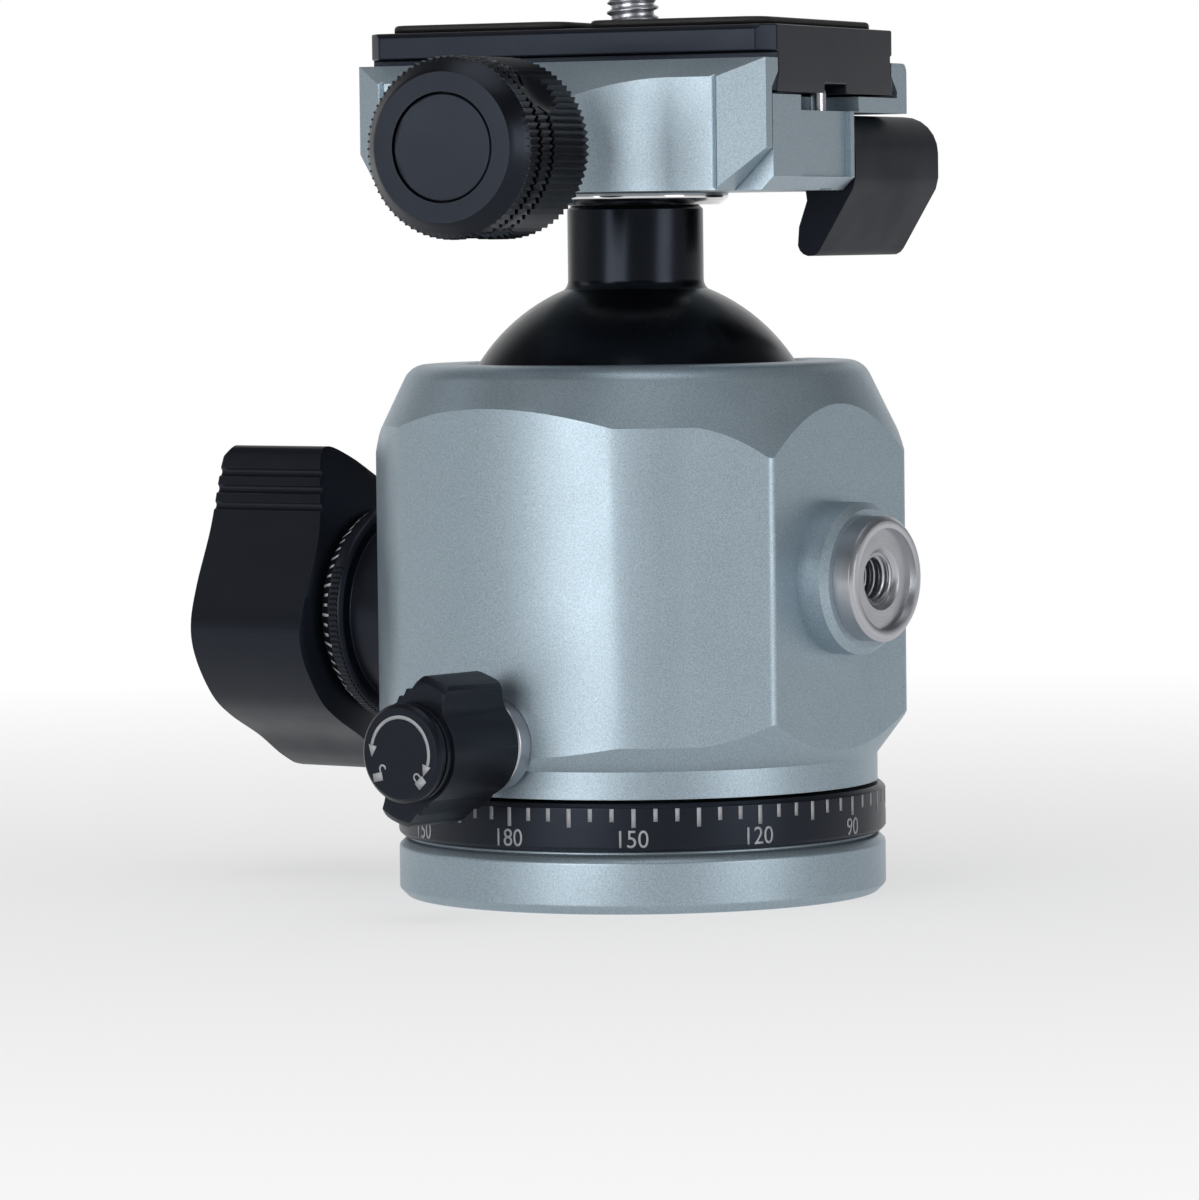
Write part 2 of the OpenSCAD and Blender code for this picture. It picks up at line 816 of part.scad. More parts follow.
// Barrel outline with two leaning fins, each hollow on one flank and stepped on the other
module pan_knob_outline() {
    barrel_r = pan_knob_d / 2;
    hollow_y = pan_fin_half + pan_hollow_r;
    hollow_x = sqrt(pow(barrel_r + pan_hollow_r, 2) - pow(hollow_y, 2));
    hollow_turn = atan2(hollow_y, hollow_x);
    tip = pan_wing_reach - pan_fin_edge;
    tip_y = pan_fin_half - pan_fin_edge;
    last = pan_step_from + pan_step_count * pan_step_turn;
    steps = [for (i = [0:pan_step_count - 1], side = [0, 1])
        let (r = barrel_r + pan_step_h * (pan_step_count - i) - side * pan_step_drop)
        let (a = pan_step_from + (i + side * pan_step_share) * pan_step_turn)
        max(barrel_r, r) * [cos(a), sin(a)]];
    half = concat(
        arc([hollow_x, -hollow_y], pan_hollow_r, 180 - hollow_turn, 90, 6),
        arc([tip, -tip_y], pan_fin_edge, -90, 0, 4), arc([tip, tip_y], pan_fin_edge, 0, 90, 4),
        steps, arc([0, 0], barrel_r, last, 180 - hollow_turn, 14)
    );
    turn_end = [for (i = [0:len(half) - 2]) half[i]];
    rotate(90 - pan_wing_lean) polygon(concat(turn_end, [for (p = turn_end) -p]));
}

// Winged knob that locks the pan
module pan_knob() {
    wing_r = pan_wing_reach + fit;
    color(black_anodised)
    pan_axis()
        difference() {
            intersection() {
                translate([0, 0, pan_knob_in]) linear_extrude(pan_knob_len) pan_knob_outline();
                rotate_extrude()
                    polygon([
                        [0, pan_knob_in], [pan_knob_d / 2 - pan_edge, pan_knob_in],
                        [wing_r, pan_knob_in + pan_wing_rise], [wing_r, pan_knob_out - pan_edge],
                        [pan_wing_reach - pan_edge, pan_knob_out], [0, pan_knob_out]
                    ]);
            }
            bar(pan_screw_r, pan_knob_in - cut, pan_knob_out - soft);
        }
}

// Round cap on the pan knob
module pan_knob_cap() {
    groove_r = pan_cap_r - pan_cap_groove;
    groove_z = pan_knob_out + pan_cap_h / 2;
    color(black_anodised)
    pan_axis()
        difference() {
            chamfered(pan_cap_r, pan_knob_out, pan_knob_out + pan_cap_h, soft);
            ring(groove_r, pan_cap_r + cut, groove_z - pan_cap_groove, groove_z);
        }
}

// Brake shoe against the drum
module pan_shoe() color(brass) pan_axis() bar(pan_shoe_r, pan_shoe_in, pan_shoe_in + pan_shoe_len);

// Ball and neck, turned in one piece
module ball_stem() {
    reach = ball_r + neck_fillet - 2 * fit;
    root = asin((neck_r + neck_fillet) / reach);
    fillet_z = ball_z + reach * cos(root);
    color(black_anodised)
    difference() {
        union() {
            translate([0, 0, ball_z]) sphere(r = ball_r);
            rotate_extrude()
                polygon(concat(
                    [[0, ball_z]], arc([neck_r + neck_fillet, fillet_z], neck_fillet, 270 - root, 180, 6),
                    [[neck_r, neck_top - soft], [neck_r - soft, neck_top], [0, neck_top]]
                ));
        }
        bar(bolt_r + fit, neck_top - bolt_depth - soft, neck_top + cut);
    }
}

// Polished collar between the neck and the clamp
module stem_collar() {
    collar_r = collar_d / 2;
    color(steel)
    rotate_extrude()
        polygon([
            [bolt_r + fit, neck_top], [collar_r - collar_bevel, neck_top],
            [collar_r, neck_top + collar_h - collar_land],
            [collar_r, neck_top + collar_h], [bolt_r + fit, neck_top + collar_h]
        ]);
}

// Socket screw that holds the clamp on the neck
module clamp_bolt() {
    seat = floor_z - bolt_head_h - soft;
    color(steel)
    on_clamp()
        difference() {
            union() {
                bar(bolt_r, neck_top - bolt_depth, seat + soft);
                chamfered(bolt_head_r, seat, seat + bolt_head_h, soft);
            }
            translate([0, 0, seat + bolt_head_h - hex_h]) cylinder(r = hex_r, h = hex_h + cut, $fn = 6);
        }
}

// End view of the clamp, with bevelled lower corners; the bevel at the lever's end is given
module clamp_end_view(bevel) {
    polygon([
        [-clamp_half, clamp_z + clamp_bevel], [-clamp_half + clamp_bevel, clamp_z],
        [clamp_half - bevel, clamp_z], [clamp_half, clamp_z + bevel],
        [clamp_half, jaw_top], [-clamp_half, jaw_top]
    ]);
}

// Clamp floor with its fixed rear jaw
module clamp_body() {
    wall_in = plate_half + jaw_gap;
    lip_z = jaw_top - lip_flat;
    crank_room = lever_axis_z + shaft_r + soft - clamp_z + cut;
    corner = [body_rear - rear_wall_top_fillet, jaw_top - rear_wall_top_fillet];
    color(titanium)
    on_clamp()
        difference() {
            intersection() {
                along_x(-clamp_half, clamp_half)
                    polygon(concat(
                        [[-body_front, clamp_z], [body_rear - rear_chamfer, clamp_z],
                            [body_rear, clamp_z + rear_chamfer]],
                        arc(corner, rear_wall_top_fillet, 0, 90, 6),
                        [[wall_in - lip_inset, jaw_top], [wall_in - lip_inset, lip_z],
                            [wall_in, lip_z - lip_bevel], [wall_in, floor_z], [-body_front, floor_z]]
                    ));
                along_y(-body_front, body_rear) clamp_end_view(end_bevel);
            }
            translate([clamp_half - end_recess, -recess_front, clamp_z + end_bevel])
                cube([end_recess + cut, recess_front + pocket_front - recess_wall, floor_rise + cut]);
            translate([pin_pocket_x, -recess_front, floor_z - pin_pocket_drop])
                cube([clamp_half, recess_front + pin_pocket_rear, pin_pocket_drop + cut]);
            translate([pocket_in, pocket_front, clamp_z - cut])
                cube([clamp_half, body_rear, pocket_top - clamp_z + cut]);
            translate([pin_x, 0, 0]) bar(pin_r + fit, clamp_z - cut, floor_z);
            translate([lever_axis_x - shaft_r - soft, -crank_half - soft, clamp_z - cut])
                cube([crank_len + pin_r + shaft_r + soft, 2 * (crank_half + soft), crank_room]);
            translate([lever_axis_x, 0, lever_axis_z]) rotate([-90, 0, 0])
                bar(shaft_r + fit, shaft_front - clear, pocket_front + cut);
            bar(bolt_r + loose, clamp_z - cut, floor_z);
            bar(bolt_head_r + loose, floor_z - bolt_head_h - soft, floor_z + cut);
            clamp_axis() {
                bar(screw_r + fit, screw_in - soft, body_front + cut);
                for (side = [-1, 1]) {
                    translate([side * guide_x, 0, 0]) bar(guide_r, guide_in, body_front + cut);
                    translate([side * spring_x, 0, 0]) bar(spring_hole_r, spring_in, body_front + cut);
                }
            }
        }
}

// Plan of the moving jaw: swept nose round the screw, front flats and angled ears
module jaw_plan() {
    nose_turn = asin((cove_start - nose_half) / cove_r);
    half = concat(
        [[clamp_half, -body_front - jaw_gap], [clamp_half, -body_front - jaw_end],
            [clamp_half - jaw_ear, -jaw_front]],
        [[clamp_half - jaw_ear - jaw_groove_w / 2, -jaw_front + jaw_groove_h],
            [clamp_half - jaw_ear - jaw_groove_w, -jaw_front]],
        arc([cove_start, -jaw_front - cove_r], cove_r, 90, 90 + nose_turn, 10), [[nose_half, -nose_out]]
    );
    polygon(concat(half, [for (i = [len(half) - 1:-1:0]) [-half[i].x, half[i].y]]));
}

// Moving front jaw
module clamp_jaw() {
    back = -body_front - jaw_gap;
    brow = body_front + jaw_end;
    lip_z = jaw_top - lip_flat;
    front = nose_out + cut;
    color(titanium)
    on_clamp()
        difference() {
            intersection() {
                union() {
                    translate([0, 0, clamp_z]) linear_extrude(jaw_top - clamp_z) jaw_plan();
                    along_x(-clamp_half, clamp_half)
                        polygon([
                            [-brow, jaw_top], [back - fit, lip_z - lip_bevel - fit],
                            [back, lip_z - lip_bevel], [back + lip_inset, lip_z], [back + lip_inset, jaw_top]
                        ]);
                }
                along_x(-clamp_half, clamp_half)
                    polygon([
                        [0, clamp_z], [-front + soft, clamp_z], [-front, clamp_z + soft],
                        [-front, jaw_top - (front - brow) * jaw_bevel_slope], [-brow, jaw_top], [0, jaw_top]
                    ]);
                along_y(-front, 0) clamp_end_view(clamp_bevel);
            }
            clamp_axis() {
                bar(screw_r + loose, body_front, nose_out + cut);
                for (side = [-1, 1])
                    translate([side * guide_x, 0, 0]) bar(guide_r + fit, body_front, guide_out + clear);
            }
        }
}

// Dowels that guide the moving jaw
module guide_pins() {
    color(steel)
    on_clamp() clamp_axis()
        for (side = [-1, 1]) translate([side * guide_x, 0, 0]) chamfered(guide_r, guide_in, guide_out, soft);
}

// One coil spring as a single swept wire, its first end at the origin
module coil_spring(r, wire, pitch, turns) {
    sides = 6;
    rings = 8 * turns;
    points = [for (i = [0:rings], k = [0:sides - 1])
        coil_point(r + wire * cos(360 * k / sides), pitch, i / 8) + [0, 0, wire * sin(360 * k / sides)]];
    walls = [for (i = [0:rings - 1], k = [0:sides - 1], half = [0, 1])
        let (a = i * sides + k, b = i * sides + (k + 1) % sides)
        half == 0 ? [a, a + sides, b] : [b, a + sides, b + sides]];
    caps = [for (k = [1:sides - 2], end = [0, 1])
        end == 0 ? [0, k, k + 1] : [rings * sides, rings * sides + k + 1, rings * sides + k]];
    polyhedron(points = points, faces = concat(walls, caps));
}

// Springs that push the moving jaw open
module jaw_springs() {
    pitch = (body_front - spring_in - 2 * clear) / spring_turns;
    echo(least_gap_between_turns = pitch - 2 * spring_wire_r);
    color(steel)
    on_clamp() clamp_axis()
        for (side = [-1, 1])
            translate([side * spring_x, 0, spring_in + clear])
                coil_spring(spring_coil_r, spring_wire_r, pitch, spring_turns);
}

// Screw of the clamp knob
module clamp_screw() {
    color(steel) on_clamp() clamp_axis() bar(screw_r, screw_in, clamp_knob_out - face_cap_h - soft);
}

// Washer between the jaw's nose and the knob
module thrust_washer() {
    color(steel)
    on_clamp() clamp_axis() ring(screw_r + loose, nose_half, nose_out + 2 * fit, nose_out + knob_gap);
}

// Knurled knob of the clamp, with thumb scoops
module clamp_knob() {
    root_r = clamp_knob_r - knurl_h;
    bevel = clamp_knob_r - face_r;
    band_end = clamp_knob_out - bevel;
    band_2 = band_end - front_band - knurl_gap;
    band_3 = band_2 - front_band - knurl_gap;
    core_r = root_r - knob_core_step;
    color(black_anodised)
    on_clamp() clamp_axis()
        difference() {
            union() {
                rotate_extrude()
                    polygon([
                        [0, clamp_knob_in], [core_r - knob_back_bevel, clamp_knob_in],
                        [core_r, clamp_knob_in + knob_back_bevel], [core_r, band_end],
                        [clamp_knob_r - loose, band_end], [face_r, clamp_knob_out], [0, clamp_knob_out]
                    ]);
                knurl_band(band_end - front_band, band_end);
                knurl_band(band_2 - front_band, band_2);
                knurl_band(clamp_knob_in + knob_back_band, band_3);
            }
            bar(screw_r, clamp_knob_in - cut, clamp_knob_out - face_cap_h);
            bar(face_cap_r + fit, clamp_knob_out - face_cap_h, clamp_knob_out + cut);
            round_copies(scoop_count, scoop_turn)
                translate([clamp_knob_r + scoop_r - scoop_depth, 0, band_3]) sphere(r = scoop_r);
        }
}

// One band of straight knurl round the clamp knob
module knurl_band(z0, z1) {
    translate([0, 0, z0]) linear_extrude(z1 - z0) polygon(knurl(clamp_knob_r, knurl_h, knurl_count));
}

// Disc set in the clamp knob's face
module clamp_knob_cap() {
    color(black_anodised)
    on_clamp() clamp_axis()
        chamfered(face_cap_r - 2 * fit, clamp_knob_out - face_cap_h + fit, clamp_knob_out - 2 * fit, loose);
}

// Hooked outline of the release lever
module lever_outline() {
    inner = lever_out - lever_thick;
    top_fillet = [lever_out - lever_top_r, lever_top - lever_top_r];
    eye_turn = acos((lever_axis_x - inner) / lever_eye_r);
    polygon(concat(
        [[inner, lever_top]], arc(top_fillet, lever_top_r, 90, 0, 6),
        [[lever_out, lever_knee_z + lever_knee_h], [lever_out - lever_knee_in, lever_knee_z]],
        arc([lever_foot_x, lever_foot_z + lever_foot_r], lever_foot_r, -30, -170, 6),
        [[lever_foot_x - lever_foot_r + loose, lever_foot_z + lever_hook_h],
            [inner + loose, lever_knee_z - lever_knee_h], [inner, lever_knee_z]],
        arc([lever_axis_x, lever_axis_z], lever_eye_r, 180 + eye_turn, 180 - eye_turn, 8)
    ));
}

// Lever that draws the stop pin down
module release_lever() {
    color(black_anodised)
    on_clamp()
        difference() {
            along_y(lever_front, lever_front + lever_len) lever_outline();
            translate([lever_axis_x, 0, lever_axis_z]) rotate([-90, 0, 0])
                bar(shaft_r, lever_front - cut, lever_front + lever_len - shaft_end);
        }
}

// Shaft of the lever with the forked crank that moves the stop pin
module lever_shaft() {
    color(steel)
    on_clamp() translate([lever_axis_x, 0, lever_axis_z]) {
        rotate([-90, 0, 0]) bar(shaft_r, shaft_front, lever_front + lever_len - shaft_end);
        difference() {
            translate([0, -crank_half, -crank_h])
                cube([crank_len + pin_waist_r, 2 * crank_half, 2 * crank_h]);
            translate([crank_len - pin_waist_r - 2 * fit, -pin_waist_r - 2 * fit, -crank_h - cut])
                cube([crank_len, 2 * (pin_waist_r + 2 * fit), 2 * (crank_h + cut)]);
        }
    }
}

// Safety pin that keeps the plate from sliding out, waisted for the crank
module stop_pin() {
    foot = clamp_z + pin_rise;
    top = plate_z + pin_engage;
    waist = [lever_axis_z - pin_waist_half, lever_axis_z + pin_waist_half];
    color(steel)
    on_clamp() translate([pin_x, 0, 0])
        rotate_extrude()
            polygon([
                [0, foot], [pin_r, foot], [pin_r, waist[0]], [pin_waist_r, waist[0]], [pin_waist_r, waist[1]],
                [pin_r, waist[1]], [pin_r, top - clear], [pin_r - clear, top], [0, top]
            ]);
}

// Rectangle with cut corners
module cut_rectangle(half_x, half_y, c) {
    polygon([
        [half_x - c, -half_y], [half_x, -half_y + c], [half_x, half_y - c], [half_x - c, half_y],
        [-half_x + c, half_y], [-half_x, half_y - c], [-half_x, -half_y + c], [-half_x + c, -half_y]
    ]);
}

// Dovetail plate that the camera is screwed to
module quick_plate() {
    foot_z = plate_z + soft;
    slope_z = foot_z + lip_bevel;
    neck_half = plate_half - lip_bevel;
    half = [
        [plate_half - soft, plate_z], [plate_half, foot_z], [neck_half, slope_z], [neck_half, wing_z],
        [wing_half, wing_z], [wing_half, plate_top - plate_edge], [wing_half - plate_edge, plate_top]
    ];
    color(black_anodised)
    on_clamp()
        difference() {
            intersection() {
                along_x(-clamp_half, clamp_half)
                    polygon(concat(half, [for (i = [len(half) - 1:-1:0]) [-half[i].x, half[i].y]]));
                translate([0, 0, plate_z - cut])
                    linear_extrude(plate_h + 2 * cut) cut_rectangle(clamp_half, wing_half, plate_corner);
            }
            for (side = [0, 180])
                rotate([0, 0, side])
                    translate([stop_groove_in, -stop_groove_half, plate_z - cut])
                        cube([clamp_half, 2 * stop_groove_half, stop_groove_h + cut]);
            bar(camera_screw_d / 2 + fit, plate_z - cut, plate_top + cut);
            bar(head_r + loose, plate_z - cut, plate_z + head_h + 2 * head_room);
        }
}

// Rounded pad outline between two corners
module pad_outline(x0, x1, half_y) {
    r = pad_corner_r;
    polygon(concat(
        arc([x1 - r, half_y - r], r, 0, 90, 6), arc([x0 + r, half_y - r], r, 90, 180, 6),
        arc([x0 + r, r - half_y], r, 180, 270, 6), arc([x1 - r, r - half_y], r, 270, 360, 6)
    ));
}

// Rubber pads on the plate's top
module plate_pads() {
    color(rubber)
    on_clamp()
        for (side = [0, 180])
            rotate([0, 0, side])
                difference() {
                    translate([0, 0, plate_top]) linear_extrude(pad_h)
                        pad_outline(pad_split, clamp_half - pad_edge, wing_half - pad_edge);
                    bar(pad_clear_r, plate_top - cut, pad_top + cut);
                }
}

// Captive screw for the camera
module camera_screw() {
    thread_r = camera_screw_d / 2;
    head_z = plate_z + head_room;
    color(steel)
    on_clamp()
        difference() {
            rotate_extrude()
                polygon([
                    [0, head_z], [head_r, head_z], [head_r, head_z + head_h],
                    [camera_neck_r, head_z + head_h], [camera_neck_r, camera_thread_z - soft],
                    [thread_r, camera_thread_z], [thread_r, camera_top - soft],
                    [thread_r - soft, camera_top], [0, camera_top]
                ]);
            translate([-head_r - cut, -coin_slot / 2, head_z - cut])
                cube([2 * (head_r + cut), coin_slot, cut + coin_slot_h]);
        }
}

base_plate();
tripod_bush();
scale_ring();
pan_spindle();
base_screws();
lower_washer();
bearing_plate();
bearing_screws();
upper_washer();
housing();
accessory_bush();
upper_seat();
lower_cup();
thrust_wedge();
knob_bush();
main_screw();
main_knob();
main_knob_cap();
friction_dial();
pan_bush();
pan_screw();
pan_knob();
pan_knob_cap();
pan_shoe();
ball_stem();
stem_collar();
clamp_bolt();
clamp_body();
clamp_jaw();
guide_pins();
jaw_springs();
clamp_screw();
clamp_knob();
clamp_knob_cap();
thrust_washer();
release_lever();
lever_shaft();
stop_pin();
quick_plate();
plate_pads();
camera_screw();
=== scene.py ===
"""Looks of a camera ball head with a panning base and a quick-release clamp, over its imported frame.

Sizes are in millimetres and angles in degrees, unless a name or a docstring says otherwise.
"""

import logging
import math
from dataclasses import dataclass
from enum import Enum
from typing import Iterable, Sequence

import bmesh
import bpy
from mathutils import Matrix, Vector


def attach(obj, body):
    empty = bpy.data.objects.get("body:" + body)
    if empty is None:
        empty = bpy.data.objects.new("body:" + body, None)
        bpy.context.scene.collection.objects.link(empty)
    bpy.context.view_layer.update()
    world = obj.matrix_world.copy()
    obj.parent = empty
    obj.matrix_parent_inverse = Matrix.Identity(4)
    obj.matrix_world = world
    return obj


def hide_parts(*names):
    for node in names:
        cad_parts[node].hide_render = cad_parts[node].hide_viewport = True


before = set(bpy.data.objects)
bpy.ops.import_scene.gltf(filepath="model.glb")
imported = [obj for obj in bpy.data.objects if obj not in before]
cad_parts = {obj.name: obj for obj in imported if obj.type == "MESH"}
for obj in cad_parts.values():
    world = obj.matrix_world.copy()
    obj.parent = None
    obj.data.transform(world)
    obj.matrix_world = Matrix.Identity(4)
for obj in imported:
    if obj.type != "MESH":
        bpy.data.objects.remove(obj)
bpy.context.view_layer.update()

Point = tuple[float, float, float]
Flat = tuple[float, float]
Colour = tuple[float, float, float]

MM = 0.001
LOG = logging.getLogger("ball_head")

WHITE: Colour = (1.0, 1.0, 1.0)
NOISE_CORE: Flat = (0.3, 0.7)
NEARLY_UP = 0.9
SHARP_CORNER = math.radians(80)
SAME_POINT_M = 1e-7
WELD_M = 1e-6
EDGE_SEGMENTS = 2
LARGE_FACE_WEIGHT = 80
FIGURE_STEPS = 6
FIGURE_WIDTH = 0.92

# Threads: shares of the pitch, rings in one pitch, the ridge's form, and an inner thread's gaps in mm
THREAD_DEPTH = 0.54
THREAD_RUN_OUT = 0.3
THREAD_RINGS = 14
RIDGE_TOP = 1.5
RIDGE_SLOPE = 5.0
LEAST_EASE = 0.001
ROOT_GAP = 0.01
SLEEVE_WALL = 0.05


class Slot(Enum):
    """Material slots of the record; no piece in this script takes its finish from them."""

    BLACK = "black_anodised"
    STEEL = "steel"
    RUBBER = "pad_rubber"


class Axis(Enum):
    """Turning axes of the head: a point in millimetres and a direction."""

    PAN = ((0.0, 0.0, 0.0), (0.0, 0.0, 1.0))
    MAIN_KNOB = ((0.0, 0.0, 33.8), (-1.0, 0.0, 0.0))
    PAN_KNOB = ((0.0, 0.0, 20.3), (0.0, -1.0, 0.0))
    ACCESSORY = ((0.0, 0.0, 39.3), (1.0, 0.0, 0.0))
    CLAMP_KNOB = ((0.0, 0.0, 91.2), (0.199368, -0.979925, 0.0))

    @property
    def point(self) -> Vector:
        """A point on the axis, in metres."""
        return Vector(self.value[0]) * MM

    @property
    def direction(self) -> Vector:
        """The unit vector that runs out along the axis."""
        return Vector(self.value[1])

    def placement(self) -> Matrix:
        """Takes a mesh turned round its own Z onto this axis.

        Returns:
            Matrix: Z goes out along the axis, and Y stays as near to up as it can.
        """
        out = self.direction
        up = Vector((0, 0, 1)) if abs(out.z) < NEARLY_UP else Vector((0, 1, 0))
        right = up.cross(out).normalized()
        turn = Matrix((right, out.cross(right), out)).transposed().to_4x4()
        return Matrix.Translation(self.point) @ turn


class Nodes:
    """Places and links the nodes of one shader tree."""

    def __init__(self, tree: bpy.types.NodeTree) -> None:
        """Starts with an empty tree.

        Args:
            tree: The tree that the nodes go into.
        """
        self.tree = tree
        self.tree.nodes.clear()

    def add(self, kind: str, **fields: object) -> bpy.types.Node:
        """Adds one node.

        Args:
            kind: Blender's name of the node type.
            fields: Properties of the node to set.

        Returns:
            The new node.
        """
        node = self.tree.nodes.new(kind)
        for name, value in fields.items():
            setattr(node, name, value)
        return node

    def put(self, node: bpy.types.Node, socket: str | int, value: object) -> None:
        """Sets an input to a value, or links it to an output socket.

        Args:
            node: The node.
            socket: Name or number of its input.
            value: A plain value, or the output socket to link.
        """
        if isinstance(value, bpy.types.NodeSocket):
            self.tree.links.new(value, node.inputs[socket])
        else:
            node.inputs[socket].default_value = value

    def spread(
        self, value: bpy.types.NodeSocket, low: float, high: float, to_low: float, to_high: float
    ) -> bpy.types.NodeSocket:
        """Maps one range of values onto another, with its ends held.

        Args:
            value: The value to map.
            low: Start of its range.
            high: End of its range.
            to_low: What the start becomes.
            to_high: What the end becomes.

        Returns:
            The mapped value.
        """
        node = self.add("ShaderNodeMapRange")
        self.put(node, "Value", value)
        limits = {"From Min": low, "From Max": high, "To Min": to_low, "To Max": to_high}
        for socket, number in limits.items():
            self.put(node, socket, number)
        return node.outputs["Result"]

    def maths(self, step: str, first: object, second: object = 0.0) -> bpy.types.NodeSocket:
        """Works one sum on two values.

        Args:
            step: Blender's name of the sum.
            first: The first value or socket.
            second: The second value or socket.

        Returns:
            The result.
        """
        node = self.add("ShaderNodeMath", operation=step)
        self.put(node, 0, first)
        self.put(node, 1, second)
        return node.outputs[0]

    def vectors(self, step: str, first: object, second: object = None) -> bpy.types.NodeSocketCollection:
        """Works one sum on vectors.

        Args:
            step: Blender's name of the sum.
            first: The first vector or socket.
            second: The second vector or socket, if the sum has one.

        Returns:
            The node's outputs, of which Vector or Value holds the result.
        """
        node = self.add("ShaderNodeVectorMath", operation=step)
        self.put(node, 0, first)
        if second is not None:
            self.put(node, 1, second)
        return node.outputs

    def seen(self) -> tuple[bpy.types.NodeSocket, bpy.types.NodeSocket]:
        """Tells which rays show the background.

        Returns:
            1 on the camera's own rays, and 1 on rays that come by way of metal or glass.
        """
        path = self.add("ShaderNodeLightPath").outputs
        mirrored = self.maths("MAXIMUM", path["Is Glossy Ray"], path["Is Transmission Ray"])
        return path["Is Camera Ray"], mirrored


class Bench(Nodes):
    """Builds the nodes of one material."""

    edge_samples: int = 4
    edge_dot: Flat = (0.8, 0.985)
    mix_inputs: tuple[int, int, int] = (0, 6, 7)
    mix_output: int = 2

    def __init__(self, name: str) -> None:
        """Starts a material with a single surface shader.

        Args:
            name: Name of the material.
        """
        self.material = bpy.data.materials.new(name)
        self.material.use_nodes = True
        super().__init__(self.material.node_tree)
        self.out = self.add("ShaderNodeOutputMaterial")
        self.shader = self.add("ShaderNodeBsdfPrincipled")
        self.put(self.out, "Surface", self.shader.outputs["BSDF"])

    def place(self) -> bpy.types.NodeSocket:
        """Gives the surface point in the object's own frame."""
        return self.add("ShaderNodeTexCoord").outputs["Object"]

    def noise(self, at: bpy.types.NodeSocket, size_mm: float, detail: float) -> bpy.types.NodeSocket:
        """Gives a soft random value with features of about the size asked for.

        Args:
            at: Where the noise is read.
            size_mm: Size of one feature in millimetres.
            detail: Octaves of finer noise.

        Returns:
            A value between 0 and 1.
        """
        node = self.add("ShaderNodeTexNoise")
        self.put(node, "Vector", at)
        self.put(node, "Scale", 1.0 / (size_mm * MM))
        self.put(node, "Detail", detail)
        return node.outputs["Fac"]

    def mix(self, share: bpy.types.NodeSocket, first: object, second: object) -> bpy.types.NodeSocket:
        """Mixes two colours by a share.

        Args:
            share: How much of the second colour shows.
            first: The first colour or socket.
            second: The second colour or socket.

        Returns:
            The mixed colour.
        """
        node = self.add("ShaderNodeMix", data_type="RGBA")
        share_in, first_in, second_in = self.mix_inputs
        self.put(node, share_in, share)
        for socket, value in ((first_in, first), (second_in, second)):
            self.put(node, socket, (*value, 1.0) if isinstance(value, tuple) else value)
        return node.outputs[self.mix_output]

    def edges(self, radius_mm: float) -> bpy.types.NodeSocket:
        """Finds the sharp edges.

        Args:
            radius_mm: Width of the edges in millimetres.

        Returns:
            1 on sharp edges and 0 on open faces.
        """
        bevel = self.add("ShaderNodeBevel", samples=self.edge_samples)
        self.put(bevel, "Radius", radius_mm * MM)
        plain = self.add("ShaderNodeNewGeometry")
        dot = self.vectors("DOT_PRODUCT", bevel.outputs["Normal"], plain.outputs["Normal"])
        return self.spread(dot["Value"], *self.edge_dot, 1.0, 0.0)

    def bump(self, height: bpy.types.NodeSocket, depth_mm: float, strength: float) -> None:
        """Roughens the surface by a height field.

        Args:
            height: The height, from 0 to 1.
            depth_mm: What a height of 1 measures, in millimetres.
            strength: Share of the bump that shows.
        """
        node = self.add("ShaderNodeBump")
        self.put(node, "Strength", strength)
        self.put(node, "Distance", depth_mm * MM)
        self.put(node, "Height", height)
        self.put(self.shader, "Normal", node.outputs["Normal"])


def tint(colour: Colour, by: float) -> Colour:
    """Brightens or darkens a colour by a factor."""
    return tuple(min(1.0, part * by) for part in colour)


@dataclass(frozen=True)
class AnodisedMetal:
    """Metal that was bead-blasted, fine-turned or drawn, most often anodised after it."""

    name: str
    colour: Colour
    metallic: float
    roughness: float
    grain_mm: float
    grain_depth_mm: float
    sparkle: float
    edge_light: float
    shine: float = 0.5
    sheen: Colour = WHITE
    grain_detail: float = 4.0
    grain_strength: float = 0.6
    speck_band: Flat = (0.36, 0.64)
    cloud_mm: float = 9.0
    cloud_detail: float = 2.0
    cloud_band: Flat = (0.25, 0.75)
    rough_swing: Flat = (-0.04, 0.05)
    edge_mm: float = 0.22
    worn_swing: Flat = (0.5, 1.0)
    worn_grey: float = 0.62
    worn_share: float = 0.55

    def make(self) -> bpy.types.Material:
        """Builds the grain, the soft clouding and the lighter edges.

        Returns:
            The finished material.
        """
        bench = Bench(self.name)
        place = bench.place()
        grain = bench.noise(place, self.grain_mm, self.grain_detail)
        cloud = bench.noise(place, self.cloud_mm, self.cloud_detail)
        speck = bench.spread(grain, *self.speck_band, 0.0, 1.0)
        tones = tint(self.colour, 1 - self.sparkle), tint(self.colour, 1 + self.sparkle)
        body = bench.mix(speck, *tones)
        worn = bench.maths(
            "MULTIPLY", bench.edges(self.edge_mm), bench.spread(cloud, *NOISE_CORE, *self.worn_swing))
        share = bench.maths("MULTIPLY", worn, self.edge_light)
        lit = tuple(part + (self.worn_grey - part) * self.worn_share for part in self.colour)
        bench.put(bench.shader, "Base Color", bench.mix(share, body, lit))
        smoother, rougher = (self.roughness + swing for swing in self.rough_swing)
        bench.put(bench.shader, "Roughness", bench.spread(cloud, *self.cloud_band, smoother, rougher))
        bench.put(bench.shader, "Metallic", self.metallic)
        bench.put(bench.shader, "Specular IOR Level", self.shine)
        bench.put(bench.shader, "Specular Tint", (*self.sheen, 1.0))
        bench.bump(grain, self.grain_depth_mm, self.grain_strength)
        return bench.material


